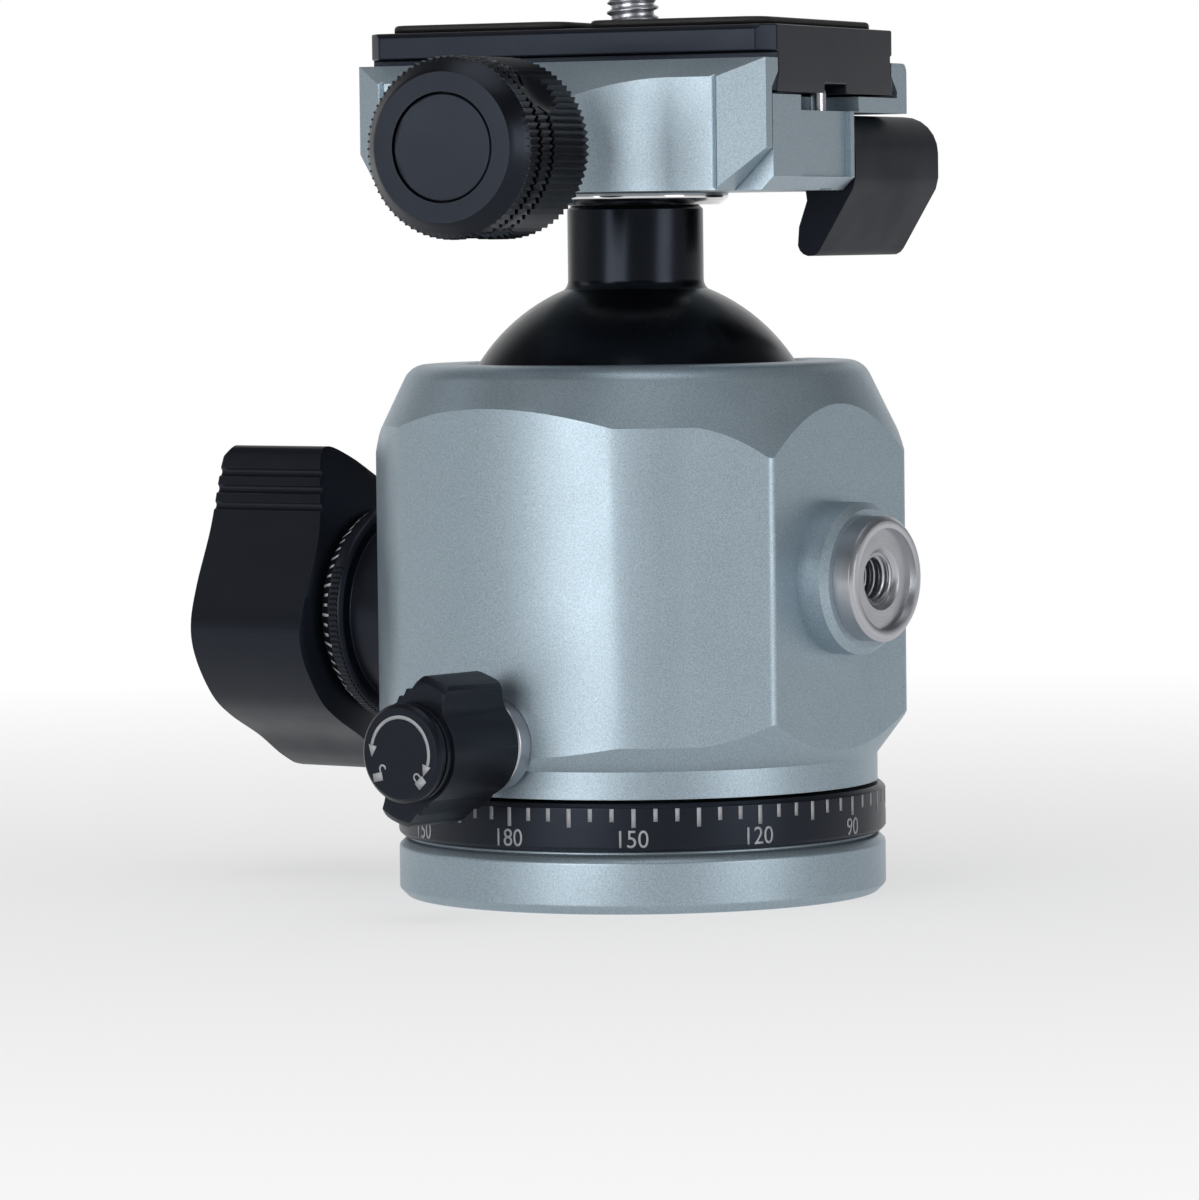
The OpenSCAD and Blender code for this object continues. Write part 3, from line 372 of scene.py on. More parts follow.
@dataclass(frozen=True)
class TurnedMetal:
    """Bare metal turned on a lathe, with fine rings about its own axis."""

    name: str
    colour: Colour
    roughness: float
    axis: Axis
    ring_mm: float = 0.12
    depth_mm: float = 0.004
    ring_detail: float = 2.0
    ring_strength: float = 0.5
    tones: Flat = (0.9, 1.06)
    cloud_mm: float = 3.0
    cloud_detail: float = 2.0
    rough_swing: Flat = (-0.03, 0.05)

    def make(self) -> bpy.types.Material:
        """Builds the tool rings about the axis.

        Returns:
            The finished material.
        """
        bench = Bench(self.name)
        place = bench.place()
        out = tuple(self.axis.direction)
        from_axis = bench.vectors("SUBTRACT", place, tuple(self.axis.point))["Vector"]
        along = bench.vectors("DOT_PRODUCT", from_axis, out)["Value"]
        cross = bench.vectors("CROSS_PRODUCT", from_axis, out)["Vector"]
        radius = bench.vectors("LENGTH", cross)["Value"]
        rings = bench.add("ShaderNodeCombineXYZ")
        bench.put(rings, "X", radius)
        bench.put(rings, "Y", along)
        lines = bench.noise(rings.outputs["Vector"], self.ring_mm, self.ring_detail)
        cloud = bench.noise(place, self.cloud_mm, self.cloud_detail)
        tone = bench.spread(lines, *NOISE_CORE, 0.0, 1.0)
        colours = (tint(self.colour, by) for by in self.tones)
        bench.put(bench.shader, "Base Color", bench.mix(tone, *colours))
        smoother, rougher = (self.roughness + swing for swing in self.rough_swing)
        bench.put(bench.shader, "Roughness", bench.spread(cloud, *NOISE_CORE, smoother, rougher))
        bench.put(bench.shader, "Metallic", 1.0)
        bench.bump(lines, self.depth_mm, self.ring_strength)
        return bench.material


@dataclass(frozen=True)
class MouldedMatter:
    """Rubber, plastic or print with a fine even tooth."""

    name: str
    colour: Colour
    roughness: float
    tooth_mm: float
    depth_mm: float
    mottle: float = 0.12
    tooth_detail: float = 3.0
    tooth_strength: float = 0.6
    cloud_teeth: float = 14.0
    cloud_detail: float = 2.0
    rough_swing: float = 0.06

    def make(self) -> bpy.types.Material:
        """Builds the tooth and the mottled colour.

        Returns:
            The finished material.
        """
        bench = Bench(self.name)
        place = bench.place()
        tooth = bench.noise(place, self.tooth_mm, self.tooth_detail)
        cloud = bench.noise(place, self.tooth_mm * self.cloud_teeth, self.cloud_detail)
        tone = bench.spread(cloud, *NOISE_CORE, 0.0, 1.0)
        tones = tint(self.colour, 1 - self.mottle), tint(self.colour, 1 + self.mottle)
        bench.put(bench.shader, "Base Color", bench.mix(tone, *tones))
        limits = self.roughness - self.rough_swing, self.roughness + self.rough_swing
        bench.put(bench.shader, "Roughness", bench.spread(tooth, *NOISE_CORE, *limits))
        bench.bump(tooth, self.depth_mm, self.tooth_strength)
        return bench.material


@dataclass(frozen=True)
class StageWhite:
    """White floor with a soft shadow, which fades into the white beyond from near to far, in metres."""

    name: str = "stage_white"
    seen_white: float = 0.9
    lit_grey: float = 0.35
    roughness: float = 0.9
    glow: float = 0.62
    near: float = 0.04
    far: float = 0.4

    def make(self) -> bpy.types.Material:
        """Builds white paper whose own light grows with the distance from the head.

        Returns:
            The finished material.
        """
        bench = Bench(self.name)
        seen = bench.maths("MAXIMUM", *bench.seen())
        greys = [(grey, grey, grey) for grey in (self.lit_grey, self.seen_white)]
        bench.put(bench.shader, "Base Color", bench.mix(seen, *greys))
        bench.put(bench.shader, "Roughness", self.roughness)
        bench.put(bench.shader, "Specular IOR Level", 0.0)
        away = bench.vectors("LENGTH", bench.place())["Value"]
        share = bench.spread(away, self.near, self.far, self.glow, 1.0)
        light = bench.add("ShaderNodeEmission")
        blend = bench.add("ShaderNodeMixShader")
        bench.put(blend, 0, bench.maths("MULTIPLY", seen, share))
        bench.put(blend, 1, bench.shader.outputs["BSDF"])
        bench.put(blend, 2, light.outputs["Emission"])
        bench.put(bench.out, "Surface", blend.outputs["Shader"])
        return bench.material


class Finishes:
    """All finishes of the head, each made once."""

    def __init__(self) -> None:
        """Makes the materials that the pieces share."""
        steel = (0.50, 0.51, 0.54)
        blue = (0.66, 0.78, 1.0)
        self.titanium = AnodisedMetal(
            "titanium_blast", (0.375, 0.46, 0.52), metallic=0.75, roughness=0.42,
            grain_mm=0.16, grain_depth_mm=0.012, sparkle=0.16, edge_light=0.45).make()
        self.black = AnodisedMetal(
            "black_anodise", (0.0055, 0.006, 0.0095), metallic=0.0, roughness=0.36,
            grain_mm=0.10, grain_depth_mm=0.006, sparkle=0.25, edge_light=0.05,
            shine=0.34, sheen=blue).make()
        self.satin = AnodisedMetal(
            "black_satin", (0.005, 0.0055, 0.009), metallic=0.0, roughness=0.52,
            grain_mm=0.10, grain_depth_mm=0.006, sparkle=0.25, edge_light=0.05,
            shine=0.22, sheen=blue).make()
        self.knurl = AnodisedMetal(
            "black_knurl", (0.004, 0.0042, 0.006), metallic=0.0, roughness=0.32,
            grain_mm=0.12, grain_depth_mm=0.005, sparkle=0.25, edge_light=0.06,
            shine=0.30, sheen=blue).make()
        self.ball = AnodisedMetal(
            "ball_anodise", (0.0015, 0.0015, 0.002), metallic=0.0, roughness=0.26,
            grain_mm=0.08, grain_depth_mm=0.003, sparkle=0.2, edge_light=0.03,
            shine=0.26, sheen=blue).make()
        self.polished = TurnedMetal(
            "polished_collar", (0.70, 0.69, 0.69), roughness=0.12, axis=Axis.PAN,
            ring_mm=0.2, depth_mm=0.002).make()
        self.spindle = TurnedMetal(
            "turned_aluminium", (0.62, 0.62, 0.63), roughness=0.3, axis=Axis.PAN).make()
        self.steel = {
            axis: TurnedMetal(f"turned_steel_{axis.name.lower()}", steel, roughness=0.34, axis=axis).make()
            for axis in Axis
        }
        self.drawn = AnodisedMetal(
            "drawn_steel", steel, metallic=1.0, roughness=0.24,
            grain_mm=0.3, grain_depth_mm=0.004, sparkle=0.06, edge_light=0.3).make()
        self.brass = TurnedMetal(
            "turned_brass", (0.58, 0.42, 0.17), roughness=0.28, axis=Axis.MAIN_KNOB).make()
        self.nylon = MouldedMatter(
            "acetal", (0.74, 0.72, 0.65), roughness=0.45, tooth_mm=0.2, depth_mm=0.006, mottle=0.05).make()
        self.rubber = MouldedMatter(
            "pad_rubber", (0.012, 0.012, 0.013), roughness=0.62, tooth_mm=0.22, depth_mm=0.03).make()
        self.print = MouldedMatter(
            "scale_print", (0.50, 0.51, 0.54), roughness=0.55,
            tooth_mm=0.12, depth_mm=0.004, mottle=0.1).make()
        self.stage = StageWhite().make()


class Mesh:
    """Vertices and faces of one piece, in millimetres, gathered before it becomes an object."""

    def __init__(self) -> None:
        """Starts empty."""
        self.points: list[Point] = []
        self.faces: list[tuple[int, ...]] = []

    def grid(self, rows: Sequence[Sequence[Point]], closed: bool) -> None:
        """Adds a sheet of quads.

        Args:
            rows: Rows of points, all of one length.
            closed: Whether each row closes on itself.
        """
        first = len(self.points)
        width = len(rows[0])
        for row in rows:
            self.points.extend(row)
        for r in range(len(rows) - 1):
            for c in range(width if closed else width - 1):
                a, b = first + r * width + c, first + r * width + (c + 1) % width
                self.faces.append((a, b, b + width, a + width))

    def polygon(self, points: Iterable[Point]) -> None:
        """Adds one flat face.

        Args:
            points: The face's corners in order.
        """
        first = len(self.points)
        self.points.extend(points)
        self.faces.append(tuple(range(first, len(self.points))))

    def block(self, half: Flat, low: float, high: float) -> None:
        """Adds an upright block about Z.

        Args:
            half: Half its width and half its depth.
            low: Height of its foot.
            high: Height of its top.
        """
        x, y = half
        foot, top = ([(-x, -y, z), (x, -y, z), (x, y, z), (-x, y, z)] for z in (low, high))
        self.grid([foot, top], True)
        self.polygon(reversed(foot))
        self.polygon(top)

    def build(
        self, name: str, place: Matrix = Matrix.Identity(4), smooth: bool = True
    ) -> bpy.types.Object:
        """Makes the object.

        Args:
            name: Name of the piece.
            place: Where the piece goes, in metres.
            smooth: Whether the faces shade smoothly.

        Returns:
            The new object, linked to the scene.
        """
        mesh = bpy.data.meshes.new(name)
        mesh.from_pydata([place @ (Vector(p) * MM) for p in self.points], [], self.faces)
        mesh.validate()
        work = bmesh.new()
        work.from_mesh(mesh)
        bmesh.ops.remove_doubles(work, verts=work.verts, dist=SAME_POINT_M)
        bmesh.ops.recalc_face_normals(work, faces=work.faces)
        work.to_mesh(mesh)
        work.free()
        for face in mesh.polygons:
            face.use_smooth = smooth
        mesh.set_sharp_from_angle(angle=SHARP_CORNER)
        piece = bpy.data.objects.new(name, mesh)
        bpy.context.scene.collection.objects.link(piece)
        return piece


def settle(
    piece: bpy.types.Object,
    material: bpy.types.Material,
    body: str,
    stands_for: Sequence[str] = (),
) -> None:
    """Gives a new piece its finish and the body that it moves with.

    Args:
        piece: The piece, in place at rest.
        material: Its finish.
        body: The body that carries it.
        stands_for: Nodes that the piece is shown instead of.
    """
    piece.data.materials.clear()
    piece.data.materials.append(material)
    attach(piece, body)
    if stands_for:
        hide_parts(*stands_for)
    LOG.info("made %s on %s", piece.name, body)


def thicken(piece: bpy.types.Object, depth_mm: float) -> None:
    """Gives a thin sheet a body outwards.

    Args:
        piece: The sheet.
        depth_mm: Its thickness in millimetres.
    """
    sheet = piece.modifiers.new("thickness", "SOLIDIFY")
    sheet.thickness = depth_mm * MM
    sheet.offset = 1.0


def cut_away(piece: bpy.types.Object, tool: bpy.types.Object) -> None:
    """Takes the shape of a tool out of a new piece, and the tool out of the scene.

    Args:
        piece: The piece that is cut.
        tool: The closed shape that is taken away.
    """
    cut = piece.modifiers.new("cut", "BOOLEAN")
    cut.operation = "DIFFERENCE"
    cut.solver = "EXACT"
    cut.object = tool
    bpy.context.view_layer.update()
    whole = piece.data
    shaped = piece.evaluated_get(bpy.context.evaluated_depsgraph_get())
    piece.data = bpy.data.meshes.new_from_object(shaped)
    piece.modifiers.clear()
    for mesh in (whole, tool.data):
        bpy.data.meshes.remove(mesh)


def even_shading(piece: bpy.types.Object) -> None:
    """Lets the large faces of a piece set the shading of its small ones.

    Args:
        piece: The piece.
    """
    shade = piece.modifiers.new("even_shading", "WEIGHTED_NORMAL")
    shade.keep_sharp = False
    shade.weight = LARGE_FACE_WEIGHT


def dress(
    nodes: Iterable[str], material: bpy.types.Material, edge_mm: float = 0.0, sharp_deg: float = 32.0
) -> None:
    """Gives nodes of the frame a finish and, where asked, broken edges.

    Args:
        nodes: Names of the nodes.
        material: Their finish.
        edge_mm: Width of the broken edge, or 0 for none.
        sharp_deg: Angle from which an edge is broken.
    """
    for name in nodes:
        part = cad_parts[name]
        part.data.materials.clear()
        part.data.materials.append(material)
        if edge_mm:
            weld = part.modifiers.new("weld", "WELD")
            weld.merge_threshold = WELD_M
            bevel = part.modifiers.new("broken_edges", "BEVEL")
            bevel.width = edge_mm * MM
            bevel.segments = EDGE_SEGMENTS
            bevel.limit_method = "ANGLE"
            bevel.angle_limit = math.radians(sharp_deg)
            bevel.use_clamp_overlap = True
            even_shading(part)
        LOG.info("dressed %s", name)


def words_outline(text: str, height_mm: float) -> tuple[list[Point], list[tuple[int, ...]]]:
    """Draws plain figures as flat faces.

    Args:
        text: The figures.
        height_mm: Their height.

    Returns:
        Points in millimetres, centred across and standing on zero, and their faces.
    """
    curve = bpy.data.curves.new("figures", "FONT")
    curve.body = text
    curve.resolution_u = FIGURE_STEPS
    item = bpy.data.objects.new("figures", curve)
    bpy.context.scene.collection.objects.link(item)
    bpy.context.view_layer.update()
    mesh = item.evaluated_get(bpy.context.evaluated_depsgraph_get()).to_mesh()
    points = [tuple(v.co) for v in mesh.vertices]
    faces = [tuple(p.vertices) for p in mesh.polygons]
    bpy.data.objects.remove(item)
    bpy.data.curves.remove(curve)
    across, up = [p[0] for p in points], [p[1] for p in points]
    middle, foot = (min(across) + max(across)) / 2, min(up)
    scale = height_mm / (max(up) - foot)
    return [((x - middle) * scale * FIGURE_WIDTH, (y - foot) * scale, 0.0) for x, y, _ in points], faces


def ring(radius: float, z: float, steps: int) -> list[Point]:
    """Gives the points of one level ring round Z.

    Args:
        radius: Radius of the ring.
        z: Its height.
        steps: Points round it.

    Returns:
        The ring's points, counter-clockwise.
    """
    turns = [2 * math.pi * i / steps for i in range(steps)]
    return [(radius * math.cos(t), radius * math.sin(t), z) for t in turns]


def thread_rings(
    outer_r: float, inner_r: float, pitch: float, z0: float, z1: float, steps: int = 72
) -> list[list[Point]]:
    """Draws rings whose radius runs in and out along a helix.

    Args:
        outer_r: Largest radius.
        inner_r: Smallest radius.
        pitch: Rise of one turn.
        z0: Where the thread starts.
        z1: Where it ends.
        steps: Points round each ring.

    Returns:
        The rings, from the start to the end.
    """
    rows = int((z1 - z0) / pitch * THREAD_RINGS) + 2
    sheet = []
    for r in range(rows):
        z = z0 + (z1 - z0) * r / (rows - 1)
        ease = min(1.0, min(z - z0, z1 - z) / (THREAD_RUN_OUT * pitch) + LEAST_EASE)
        line = []
        for c in range(steps):
            turn = 2 * math.pi * c / steps
            phase = (z / pitch - c / steps) % 1.0
            wave = min(1.0, max(0.0, RIDGE_TOP - abs(phase - 0.5) * RIDGE_SLOPE))
            radius = inner_r + (outer_r - inner_r) * (wave * ease + (1 - ease) * 0.5)
            line.append((radius * math.cos(turn), radius * math.sin(turn), z))
        sheet.append(line)
    return sheet


def inner_thread(bore_r: float, pitch: float, z0: float, z1: float) -> Mesh:
    """Draws the ridges of a thread that stands in from a bore.

    Args:
        bore_r: Radius of the bore's wall.
        pitch: Rise of one turn.
        z0: Where the thread starts.
        z1: Where it ends.

    Returns:
        The ridged sleeve, closed behind by a wall just inside the metal.
    """
    rows = thread_rings(bore_r - ROOT_GAP, bore_r - THREAD_DEPTH * pitch, pitch, z0, z1)
    foot, top = (ring(bore_r + SLEEVE_WALL, z, len(rows[0])) for z in (z0, z1))
    sleeve = Mesh()
    sleeve.grid([foot, *rows, top, foot], True)
    return sleeve


@dataclass
class PanBase:
    """Base plate, tripod bush, spindle, lower washer and the ring with the degree scale."""

    finishes: Finishes
    ring_r: float = 30.0
    scale_turn: float = 4.5
    tick_step: int = 5
    long_step: int = 15
    figure_step: int = 30
    tick_top: float = 12.72
    short_tick: float = 1.55
    long_tick: float = 2.25
    tick_w: float = 0.5
    figure_z: float = 8.05
    figure_h: float = 2.1
    print_lift: float = 0.004
    print_h: float = 0.025
    thread_r: float = 4.7625
    thread_pitch: float = 1.5875
    thread_foot: float = 0.3
    thread_top: float = 10.4

    def build(self) -> None:
        """Dresses the base and adds the scale and the tripod thread."""
        look = self.finishes
        dress(["base_plate"], look.titanium, edge_mm=0.2)
        dress(["scale_ring"], look.black, edge_mm=0.12)
        dress(["pan_spindle"], look.spindle)
        dress(["tripod_bush"], look.steel[Axis.PAN])
        dress(["base_screws"], look.drawn)
        dress(["lower_washer"], look.nylon)
        self.scale()
        thread = inner_thread(self.thread_r, self.thread_pitch, self.thread_foot, self.thread_top)
        settle(thread.build("tripod_thread_ridges"), look.steel[Axis.PAN], "base")

    def on_ring(self, across: float, z: float, turn: float) -> Point:
        """Lays a flat point of the print round the ring.

        Args:
            across: Millimetres to the right of the mark's middle.
            z: Height.
            turn: The mark's turn from the front, in degrees, towards the right.

        Returns:
            The point on the ring.
        """
        angle = math.radians(turn + self.scale_turn - 90) + across / self.ring_r
        reach = self.ring_r + self.print_lift
        return reach * math.cos(angle), reach * math.sin(angle), z

    def scale(self) -> None:
        """Adds a tick at each small step of the scale and a figure at each large one."""
        marks = Mesh()
        half = self.tick_w / 2
        for turn in range(-180, 180, self.tick_step):
            length = self.long_tick if turn % self.long_step == 0 else self.short_tick
            heights = self.tick_top - length, self.tick_top
            marks.grid([[self.on_ring(x, z, turn) for x in (-half, 0.0, half)] for z in heights], False)
        for turn in range(-180, 180, self.figure_step):
            points, faces = words_outline(str(180 - abs(turn)), self.figure_h)
            first = len(marks.points)
            marks.points.extend(self.on_ring(p[0], self.figure_z + p[1], turn) for p in points)
            marks.faces.extend(tuple(first + i for i in face) for face in faces)
        piece = marks.build("degree_scale", smooth=False)
        thicken(piece, self.print_h)
        settle(piece, self.finishes.print, "base")


@dataclass
class Housing:
    """Casing with the ball socket, its seats, the bearing and the accessory bush."""

    finishes: Finishes
    thread_r: float = 3.175
    thread_pitch: float = 1.27
    thread_in: float = 27.1
    thread_out: float = 35.4

    def build(self) -> None:
        """Dresses the casing and adds the accessory thread."""
        look = self.finishes
        dress(["housing"], look.titanium, edge_mm=0.3, sharp_deg=24.0)
        dress(["bearing_plate"], look.titanium)
        dress(["bearing_screws"], look.drawn)
        dress(["upper_washer", "upper_seat"], look.nylon)
        dress(["lower_cup"], look.nylon, edge_mm=0.1)
        dress(["accessory_bush"], look.steel[Axis.ACCESSORY], edge_mm=0.12)
        dress(["knob_bush", "thrust_wedge"], look.brass)
        dress(["pan_bush"], look.steel[Axis.PAN_KNOB], edge_mm=0.1)
        thread = inner_thread(self.thread_r, self.thread_pitch, self.thread_in, self.thread_out)
        piece = thread.build("accessory_thread_ridges", Axis.ACCESSORY.placement())
        settle(piece, look.steel[Axis.ACCESSORY], "housing")


@dataclass
class MainKnob:
    """Winged lock knob with its screw, and the friction dial behind it."""

    finishes: Finishes
    dial_r: float = 13.8
    bevel_r: float = 12.5
    bevel_in: float = 38.2
    bevel_out: float = 40.4
    band_in: float = 36.8
    band_margin: float = 0.1
    band_depth: float = 0.3
    tick_count: int = 66
    tick_w: float = 0.36
    long_each: int = 3
    long_inset: Flat = (0.1, 0.15)
    short_inset: Flat = (0.55, 0.5)
    print_lift: float = 0.006
    print_h: float = 0.02
    teeth: int = 128
    tooth_h: float = 0.22
    tooth_root: float = 0.02
    # A tooth's corners as shares of its pitch and height, and the two grips as shares of a full turn
    tooth_form: tuple[Flat, ...] = ((0.0, 0.0), (0.32, 1.0), (0.62, 1.0), (0.94, 0.0))
    grip_starts: Flat = (0.30, 0.80)
    grip_share: float = 0.28

    def build(self) -> None:
        """Dresses the knob and adds the dial's marks and its knurl."""
        look = self.finishes
        dress(["main_knob"], look.black, edge_mm=0.5, sharp_deg=40.0)
        dress(["main_knob_cap"], look.black, edge_mm=0.15)
        dress(["friction_dial"], look.black, edge_mm=0.15)
        dress(["main_screw"], look.steel[Axis.MAIN_KNOB])
        self.marks()
        self.knurl()

    def marks(self) -> None:
        """Adds the ticks on the dial's bevel."""
        ticks = Mesh()
        slope = (self.dial_r - self.bevel_r) / (self.bevel_out - self.bevel_in)
        for i in range(self.tick_count):
            turn = 2 * math.pi * i / self.tick_count
            inset = self.long_inset if i % self.long_each == 0 else self.short_inset
            rows = []
            for z in (self.bevel_in + inset[0], self.bevel_out - inset[1]):
                radius = self.dial_r - slope * (z - self.bevel_in) + self.print_lift
                half = self.tick_w / 2 / radius
                turns = turn - half, turn, turn + half
                rows.append([(radius * math.cos(t), radius * math.sin(t), z) for t in turns])
            ticks.grid(rows, False)
        piece = ticks.build("dial_marks", Axis.MAIN_KNOB.placement(), smooth=False)
        thicken(piece, self.print_h)
        settle(piece, self.finishes.print, "friction_dial")

    def knurl(self) -> None:
        """Adds the fine teeth on the two gripping arcs of the dial's rim."""
        band = Mesh()
        ends = self.band_in + self.band_margin, self.bevel_in - self.band_margin
        root, deep = self.dial_r - self.tooth_root, self.dial_r - self.band_depth
        for start in self.grip_starts:
            line = []
            for i in range(int(self.teeth * self.grip_share)):
                base = 2 * math.pi * (start + i / self.teeth)
                for share, rise in self.tooth_form:
                    line.append((base + 2 * math.pi / self.teeth * share, root + self.tooth_h * rise))
            crest = [[(r * math.cos(t), r * math.sin(t), z) for t, r in line] for z in ends]
            under = [[(deep * math.cos(t), deep * math.sin(t), z) for t, _ in line] for z in reversed(ends)]
            loop = [*crest, *under]
            band.grid([*loop, crest[0]], False)
            band.polygon(row[0] for row in reversed(loop))
            band.polygon(row[-1] for row in loop)
        piece = band.build("dial_knurl", Axis.MAIN_KNOB.placement(), smooth=False)
        settle(piece, self.finishes.knurl, "friction_dial")


@dataclass
class PanKnob:
    """Small winged knob that locks the pan, with its printed cap."""

    finishes: Finishes
    face_out: float = 47.75
    print_lift: float = 0.004
    print_h: float = 0.02
    arc_r: float = 4.3
    arc_w: float = 0.42
    arc_from: float = 168.0
    arc_to: float = -18.0
    arc_steps: int = 48
    arrow_turn: float = 19.0
    arrow_in: float = 0.75
    arrow_out: float = 0.5
    closed_at: Flat = (2.75, -3.0)
    closed_turn: float = 42.0
    open_at: Flat = (-3.45, -2.45)
    open_turn: float = 12.0
    lock_half: float = 0.7
    lock_foot: float = -0.95
    lock_top: float = 0.05
    bow_radii: Flat = (0.3, 0.52)
    bow_z: float = 0.4
    bow_steps: int = 10
    open_shift: float = 0.92
    open_leg: float = 0.25

    def build(self) -> None:
        """Dresses the knob and prints its cap."""
        look = self.finishes
        dress(["pan_knob"], look.black, edge_mm=0.3, sharp_deg=40.0)
        dress(["pan_knob_cap"], look.black, edge_mm=0.12)
        dress(["pan_screw"], look.steel[Axis.PAN_KNOB])
        dress(["pan_shoe"], look.brass)
        self.signs()

    def signs(self) -> None:
        """Prints an arc with two arrowheads, an open lock and a closed lock."""
        art = Mesh()
        half, sweep, steps = self.arc_w / 2, self.arc_to - self.arc_from, self.arc_steps
        turns = [math.radians(self.arc_from + sweep * i / steps) for i in range(steps + 1)]
        edges = self.arc_r - half, self.arc_r + half
        art.grid([[(r * math.cos(t), r * math.sin(t), 0.0) for t in turns] for r in edges], False)
        inner, outer = self.arc_r - self.arrow_in, self.arc_r + self.arrow_out
        for end, way in ((self.arc_from, 1), (self.arc_to, -1)):
            foot, tip = math.radians(end), math.radians(end + way * self.arrow_turn)
            corners = (inner, foot), (outer, foot), (self.arc_r, tip)
            art.polygon((r * math.cos(t), r * math.sin(t), 0.0) for r, t in corners)
        self.lock(art, self.closed_at, self.closed_turn, False)
        self.lock(art, self.open_at, self.open_turn, True)
        lift = Matrix.Translation((0, 0, (self.face_out + self.print_lift) * MM))
        piece = art.build("pan_signs", Axis.PAN_KNOB.placement() @ lift, smooth=False)
        thicken(piece, self.print_h)
        settle(piece, self.finishes.print, "pan_knob")

    def lock(self, art: Mesh, at: Flat, turn: float, is_open: bool) -> None:
        """Draws one small padlock.

        Args:
            art: The print that it is added to.
            at: Its middle on the cap.
            turn: Its turn in degrees.
            is_open: Whether its shackle is swung to the side.
        """
        cos, sin = math.cos(math.radians(turn)), math.sin(math.radians(turn))

        def lay(x: float, y: float) -> Point:
            """Turns and moves a point of the lock onto the cap."""
            return at[0] + x * cos - y * sin, at[1] + x * sin + y * cos, 0.0

        half, foot, top = self.lock_half, self.lock_foot, self.lock_top
        art.polygon([lay(-half, foot), lay(half, foot), lay(half, top), lay(-half, top)])
        shift, leg = (self.open_shift, self.open_leg) if is_open else (0.0, top)
        turns = [math.pi * k / self.bow_steps for k in range(self.bow_steps + 1)]
        rows = []
        for r in self.bow_radii:
            bow = [(r * math.cos(t) + shift, self.bow_z + r * math.sin(t)) for t in turns]
            rows.append([lay(*p) for p in ((r + shift, leg), *bow, (-r + shift, top))])
        art.grid(rows, False)


@dataclass
class BallAndNeck:
    """Ball turned in one with its neck, and the polished collar on top."""

    finishes: Finishes

    def build(self) -> None:
        """Dresses the ball, the neck and the collar."""
        dress(["ball_stem"], self.finishes.ball, edge_mm=0.1)
        dress(["stem_collar"], self.finishes.polished, edge_mm=0.08)


@dataclass
class Clamp:
    """Quick-release clamp: body, moving jaw, knob, stop pin and lever."""

    finishes: Finishes

    def build(self) -> None:
        """Dresses the clamp's pieces."""
        look = self.finishes
        dress(["clamp_body", "clamp_jaw"], look.titanium, edge_mm=0.22, sharp_deg=28.0)
        dress(["clamp_knob"], look.knurl, edge_mm=0.08, sharp_deg=45.0)
        dress(["clamp_knob_cap"], look.black, edge_mm=0.1)
        dress(["release_lever"], look.satin, edge_mm=0.35, sharp_deg=40.0)
        dress(["clamp_screw", "thrust_washer"], look.steel[Axis.CLAMP_KNOB])
        dress(["clamp_bolt", "guide_pins", "jaw_springs", "lever_shaft", "stop_pin"], look.drawn)


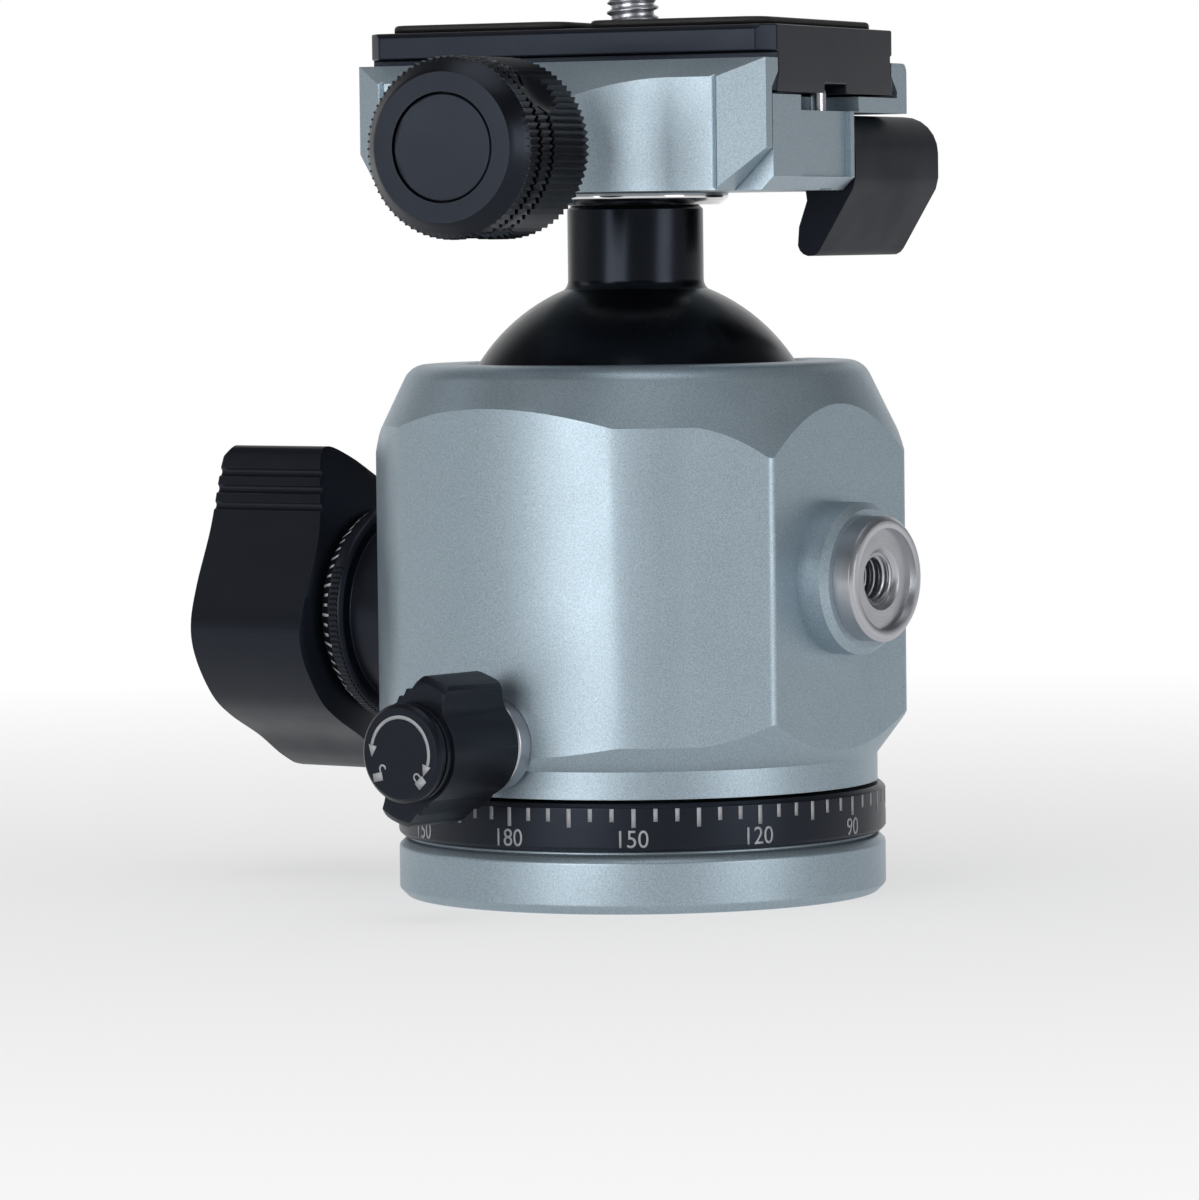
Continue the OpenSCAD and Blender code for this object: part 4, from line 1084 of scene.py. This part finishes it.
@dataclass
class CameraPlate:
    """Dovetail plate with its rubber pads and its camera screw."""

    finishes: Finishes
    turn: float = 11.5
    plate_top: float = 105.65
    pad_in: float = 1.5
    pad_out: float = 25.0
    pad_half: float = 17.6
    corner_r: float = 3.0
    corner_steps: int = 6
    # A pad's section: inset and height up the rolled edge, then the outline's share and height over the crown
    pad_roll: tuple[Flat, ...] = ((0.0, 0.0), (0.0, 0.62), (0.12, 0.86), (0.38, 1.0))
    pad_crown: tuple[Flat, ...] = ((0.94, 1.03), (0.75, 1.06), (0.45, 1.08), (0.12, 1.09))
    hole_r: float = 6.0
    hole_steps: int = 12
    head_z: float = 98.05
    head_h: float = 2.4
    head_r: float = 7.5
    head_edge: float = 0.3
    neck_r: float = 2.4
    neck_gap: float = 0.02
    slot_w: float = 1.6
    slot_h: float = 1.2
    slot_margin: float = 1.0
    thread_r: float = 3.175
    thread_pitch: float = 1.27
    thread_share: float = 0.8
    thread_z: float = 106.25
    screw_top: float = 109.95
    tip_h: float = 0.35
    tip_edge: Flat = (0.4, 0.02)
    screw_steps: int = 96

    def build(self) -> None:
        """Dresses the plate and makes its pads and screw."""
        dress(["quick_plate"], self.finishes.black, edge_mm=0.2, sharp_deg=30.0)
        self.pads()
        self.screw()

    def corner(self, x: float, y: float, start: float) -> list[Flat]:
        """Rounds one corner of a pad by a quarter turn.

        Args:
            x: Middle of the rounding, across.
            y: Middle of the rounding, along.
            start: Where the turn starts, in degrees.

        Returns:
            The corner's points, counter-clockwise.
        """
        r, step = self.corner_r, 90 / self.corner_steps
        turns = [math.radians(start + step * k) for k in range(self.corner_steps + 1)]
        return [(x + r * math.cos(t), y + r * math.sin(t)) for t in turns]

    def pad_outline(self) -> list[Flat]:
        """Draws one pad's outline, hollowed round the screw.

        Returns:
            The outline's points, counter-clockwise.
        """
        r = self.corner_r
        left, right, far = self.pad_in + r, self.pad_out - r, self.pad_half - r
        end = math.acos(self.pad_in / self.hole_r)
        turns = [end * (1 - 2 * k / self.hole_steps) for k in range(self.hole_steps + 1)]
        hollow = [(self.hole_r * math.cos(t), self.hole_r * math.sin(t)) for t in turns]
        return [
            *self.corner(right, -far, -90), *self.corner(right, far, 0), *self.corner(left, far, 90),
            *hollow, *self.corner(left, -far, 180)
        ]

    def pads(self) -> None:
        """Makes the two pads with rolled edges and a slightly crowned top."""
        line = [Vector(point) for point in self.pad_outline()]
        count = len(line)
        middle = Vector(((self.pad_in + self.pad_out) / 2, 0.0))
        ways = [(line[(i + 1) % count] - line[i - 1]).normalized() for i in range(count)]
        inward = [Vector((-way.y, way.x)) for way in ways]
        rings = [([p + way * inset for p, way in zip(line, inward)], z) for inset, z in self.pad_roll]
        edge = rings[-1][0]
        rings += [([middle + (p - middle) * share for p in edge], z) for share, z in self.pad_crown]
        pads = Mesh()
        for half_turn in (0.0, 180.0):
            spin = Matrix.Rotation(math.radians(self.turn + half_turn), 2)
            first = len(pads.points)
            pads.grid([[(*(spin @ p), self.plate_top + z) for p in row] for row, z in rings], True)
            pads.faces.append(tuple(range(len(pads.points) - count, len(pads.points))))
            pads.faces.append(tuple(reversed(range(first, first + count))))
        piece = pads.build("rubber_pads")
        even_shading(piece)
        settle(piece, self.finishes.rubber, "plate", ["plate_pads"])

    def screw(self) -> None:
        """Makes the camera screw with its slotted head and real thread."""
        steps, edge = self.screw_steps, self.head_edge
        root = self.thread_r - THREAD_DEPTH * self.thread_pitch * self.thread_share
        head_top = self.head_z + self.head_h
        rim, tip = self.head_r - edge, self.screw_top - self.tip_h
        below = [
            (0.0, self.head_z), (rim, self.head_z),
            (self.head_r, self.head_z + edge), (self.head_r, head_top - edge), (rim, head_top),
            (self.neck_r, head_top), (self.neck_r, self.thread_z - self.neck_gap)
        ]
        tip_in, tip_down = self.tip_edge
        above = [(root, self.screw_top - tip_down), (root - tip_in, self.screw_top), (0.0, self.screw_top)]
        screw = Mesh()
        screw.grid([
            *(ring(r, z, steps) for r, z in below),
            *thread_rings(self.thread_r, root, self.thread_pitch, self.thread_z, tip, steps),
            *(ring(r, z, steps) for r, z in above)
        ], True)
        slot = Mesh()
        half = self.head_r + self.slot_margin, self.slot_w / 2
        slot.block(half, self.head_z - self.slot_margin, self.head_z + self.slot_h)
        piece = screw.build("camera_screw_threaded")
        cut_away(piece, slot.build("slot", Matrix.Rotation(math.radians(self.turn), 4, "Z"), smooth=False))
        settle(piece, self.finishes.steel[Axis.PAN], "camera_screw", ["camera_screw"])


@dataclass(frozen=True)
class SoftBox:
    """One soft box, in watts, metres and degrees; its bearing runs from the camera towards the right."""

    name: str
    power: float
    size: Flat
    bearing: float
    height: float
    distance: float


@dataclass
class Studio:
    """Floor, white surroundings, soft boxes and camera, with the boxes' aim and the clip range in metres."""

    finishes: Finishes
    azimuth: float = 36.5
    distance: float = 800.0
    eye: float = 80.3
    pitch: float = 3.17
    yaw: float = 0.355
    roll: float = 0.7
    lens: float = 195.0
    sensor: float = 36.0
    clip: Flat = (0.01, 50.0)
    floor_reach: float = 4000.0
    floor_gap: float = 0.02
    sky_light: float = 0.12
    sky_tint: Colour = (0.93, 0.96, 1.0)
    backdrop_edge: Flat = (0.6, 0.95)
    aim: Point = (0.0, 0.0, 0.055)
    boxes: tuple[SoftBox, ...] = (
        SoftBox("key", power=4.5, size=(0.60, 0.50), bearing=-33.0, height=8.0, distance=0.95),
        SoftBox("right", power=2.8, size=(0.40, 0.50), bearing=50.0, height=6.0, distance=0.95),
        SoftBox("left", power=0.4, size=(0.30, 0.40), bearing=-100.0, height=18.0, distance=0.9),
        SoftBox("top", power=1.9, size=(0.60, 0.60), bearing=0.0, height=80.0, distance=0.9)
    )

    def build(self) -> None:
        """Sets up the stage, the soft boxes and the camera."""
        self.floor()
        self.sky()
        for box in self.boxes:
            self.lamp(box)
        self.camera()
        bpy.context.scene.view_settings.view_transform = "Standard"

    def floor(self) -> None:
        """Lays a wide sheet of white paper under the head."""
        places = -self.floor_reach, 0.0, self.floor_reach
        paper = Mesh()
        paper.grid([[(x, y, -self.floor_gap) for x in places] for y in places], False)
        piece = paper.build("paper")
        piece.data.materials.append(self.finishes.stage)

    def sky(self) -> None:
        """Lights the scene faintly, with white behind the head and white all round for the camera."""
        world = bpy.data.worlds.new("studio")
        bpy.context.scene.world = world
        world.use_nodes = True
        nodes = Nodes(world.node_tree)
        out = nodes.add("ShaderNodeOutputWorld")
        soft, white = nodes.add("ShaderNodeBackground"), nodes.add("ShaderNodeBackground")
        nodes.put(soft, "Color", (*self.sky_tint, 1.0))
        nodes.put(soft, "Strength", self.sky_light)
        nodes.put(white, "Color", (*WHITE, 1.0))
        turn = math.radians(self.azimuth)
        way = nodes.add("ShaderNodeTexCoord").outputs["Generated"]
        behind = nodes.vectors("DOT_PRODUCT", way, (-math.sin(turn), math.cos(turn), 0.0))["Value"]
        backdrop = nodes.spread(behind, *self.backdrop_edge, 0.0, 1.0)
        direct, mirrored = nodes.seen()
        share = nodes.maths("MAXIMUM", direct, nodes.maths("MULTIPLY", mirrored, backdrop))
        blend = nodes.add("ShaderNodeMixShader")
        nodes.put(blend, 0, share)
        nodes.put(blend, 1, soft.outputs["Background"])
        nodes.put(blend, 2, white.outputs["Background"])
        nodes.put(out, "Surface", blend.outputs["Shader"])

    def lamp(self, box: SoftBox) -> None:
        """Hangs one soft box that faces the head.

        Args:
            box: The soft box.
        """
        data = bpy.data.lights.new(box.name, "AREA")
        data.energy = box.power
        data.shape = "RECTANGLE"
        data.size, data.size_y = box.size
        item = bpy.data.objects.new(box.name, data)
        turn, rise = math.radians(self.azimuth + box.bearing), math.radians(box.height)
        back = Vector((math.sin(turn) * math.cos(rise), -math.cos(turn) * math.cos(rise), math.sin(rise)))
        item.location = Vector(self.aim) + back * box.distance
        item.rotation_mode = "QUATERNION"
        item.rotation_quaternion = (-back).to_track_quat("-Z", "Y")
        bpy.context.scene.collection.objects.link(item)

    def camera(self) -> None:
        """Stands the camera where the photograph was taken from."""
        data = bpy.data.cameras.new("camera")
        data.lens = self.lens
        data.sensor_width = self.sensor
        data.clip_start, data.clip_end = self.clip
        item = bpy.data.objects.new("camera", data)
        turn = math.radians(self.azimuth)
        place = math.sin(turn) * self.distance, -math.cos(turn) * self.distance, self.eye
        item.location = Vector(place) * MM
        look = Matrix.Rotation(turn + math.radians(self.yaw), 4, "Z")
        look = look @ Matrix.Rotation(math.radians(90 - self.pitch), 4, "X")
        look = look @ Matrix.Rotation(math.radians(-self.roll), 4, "Z")
        item.rotation_mode = "QUATERNION"
        item.rotation_quaternion = look.to_quaternion()
        bpy.context.scene.collection.objects.link(item)
        bpy.context.scene.camera = item


def main() -> None:
    """Builds the head from the base up, then the studio."""
    logging.basicConfig(level=logging.INFO, format="%(name)s: %(message)s")
    finishes = Finishes()
    for assembly in (PanBase, Housing, MainKnob, PanKnob, BallAndNeck, Clamp, CameraPlate, Studio):
        assembly(finishes).build()
        LOG.info("finished %s", assembly.__name__)


if __name__ == "__main__":
    main()
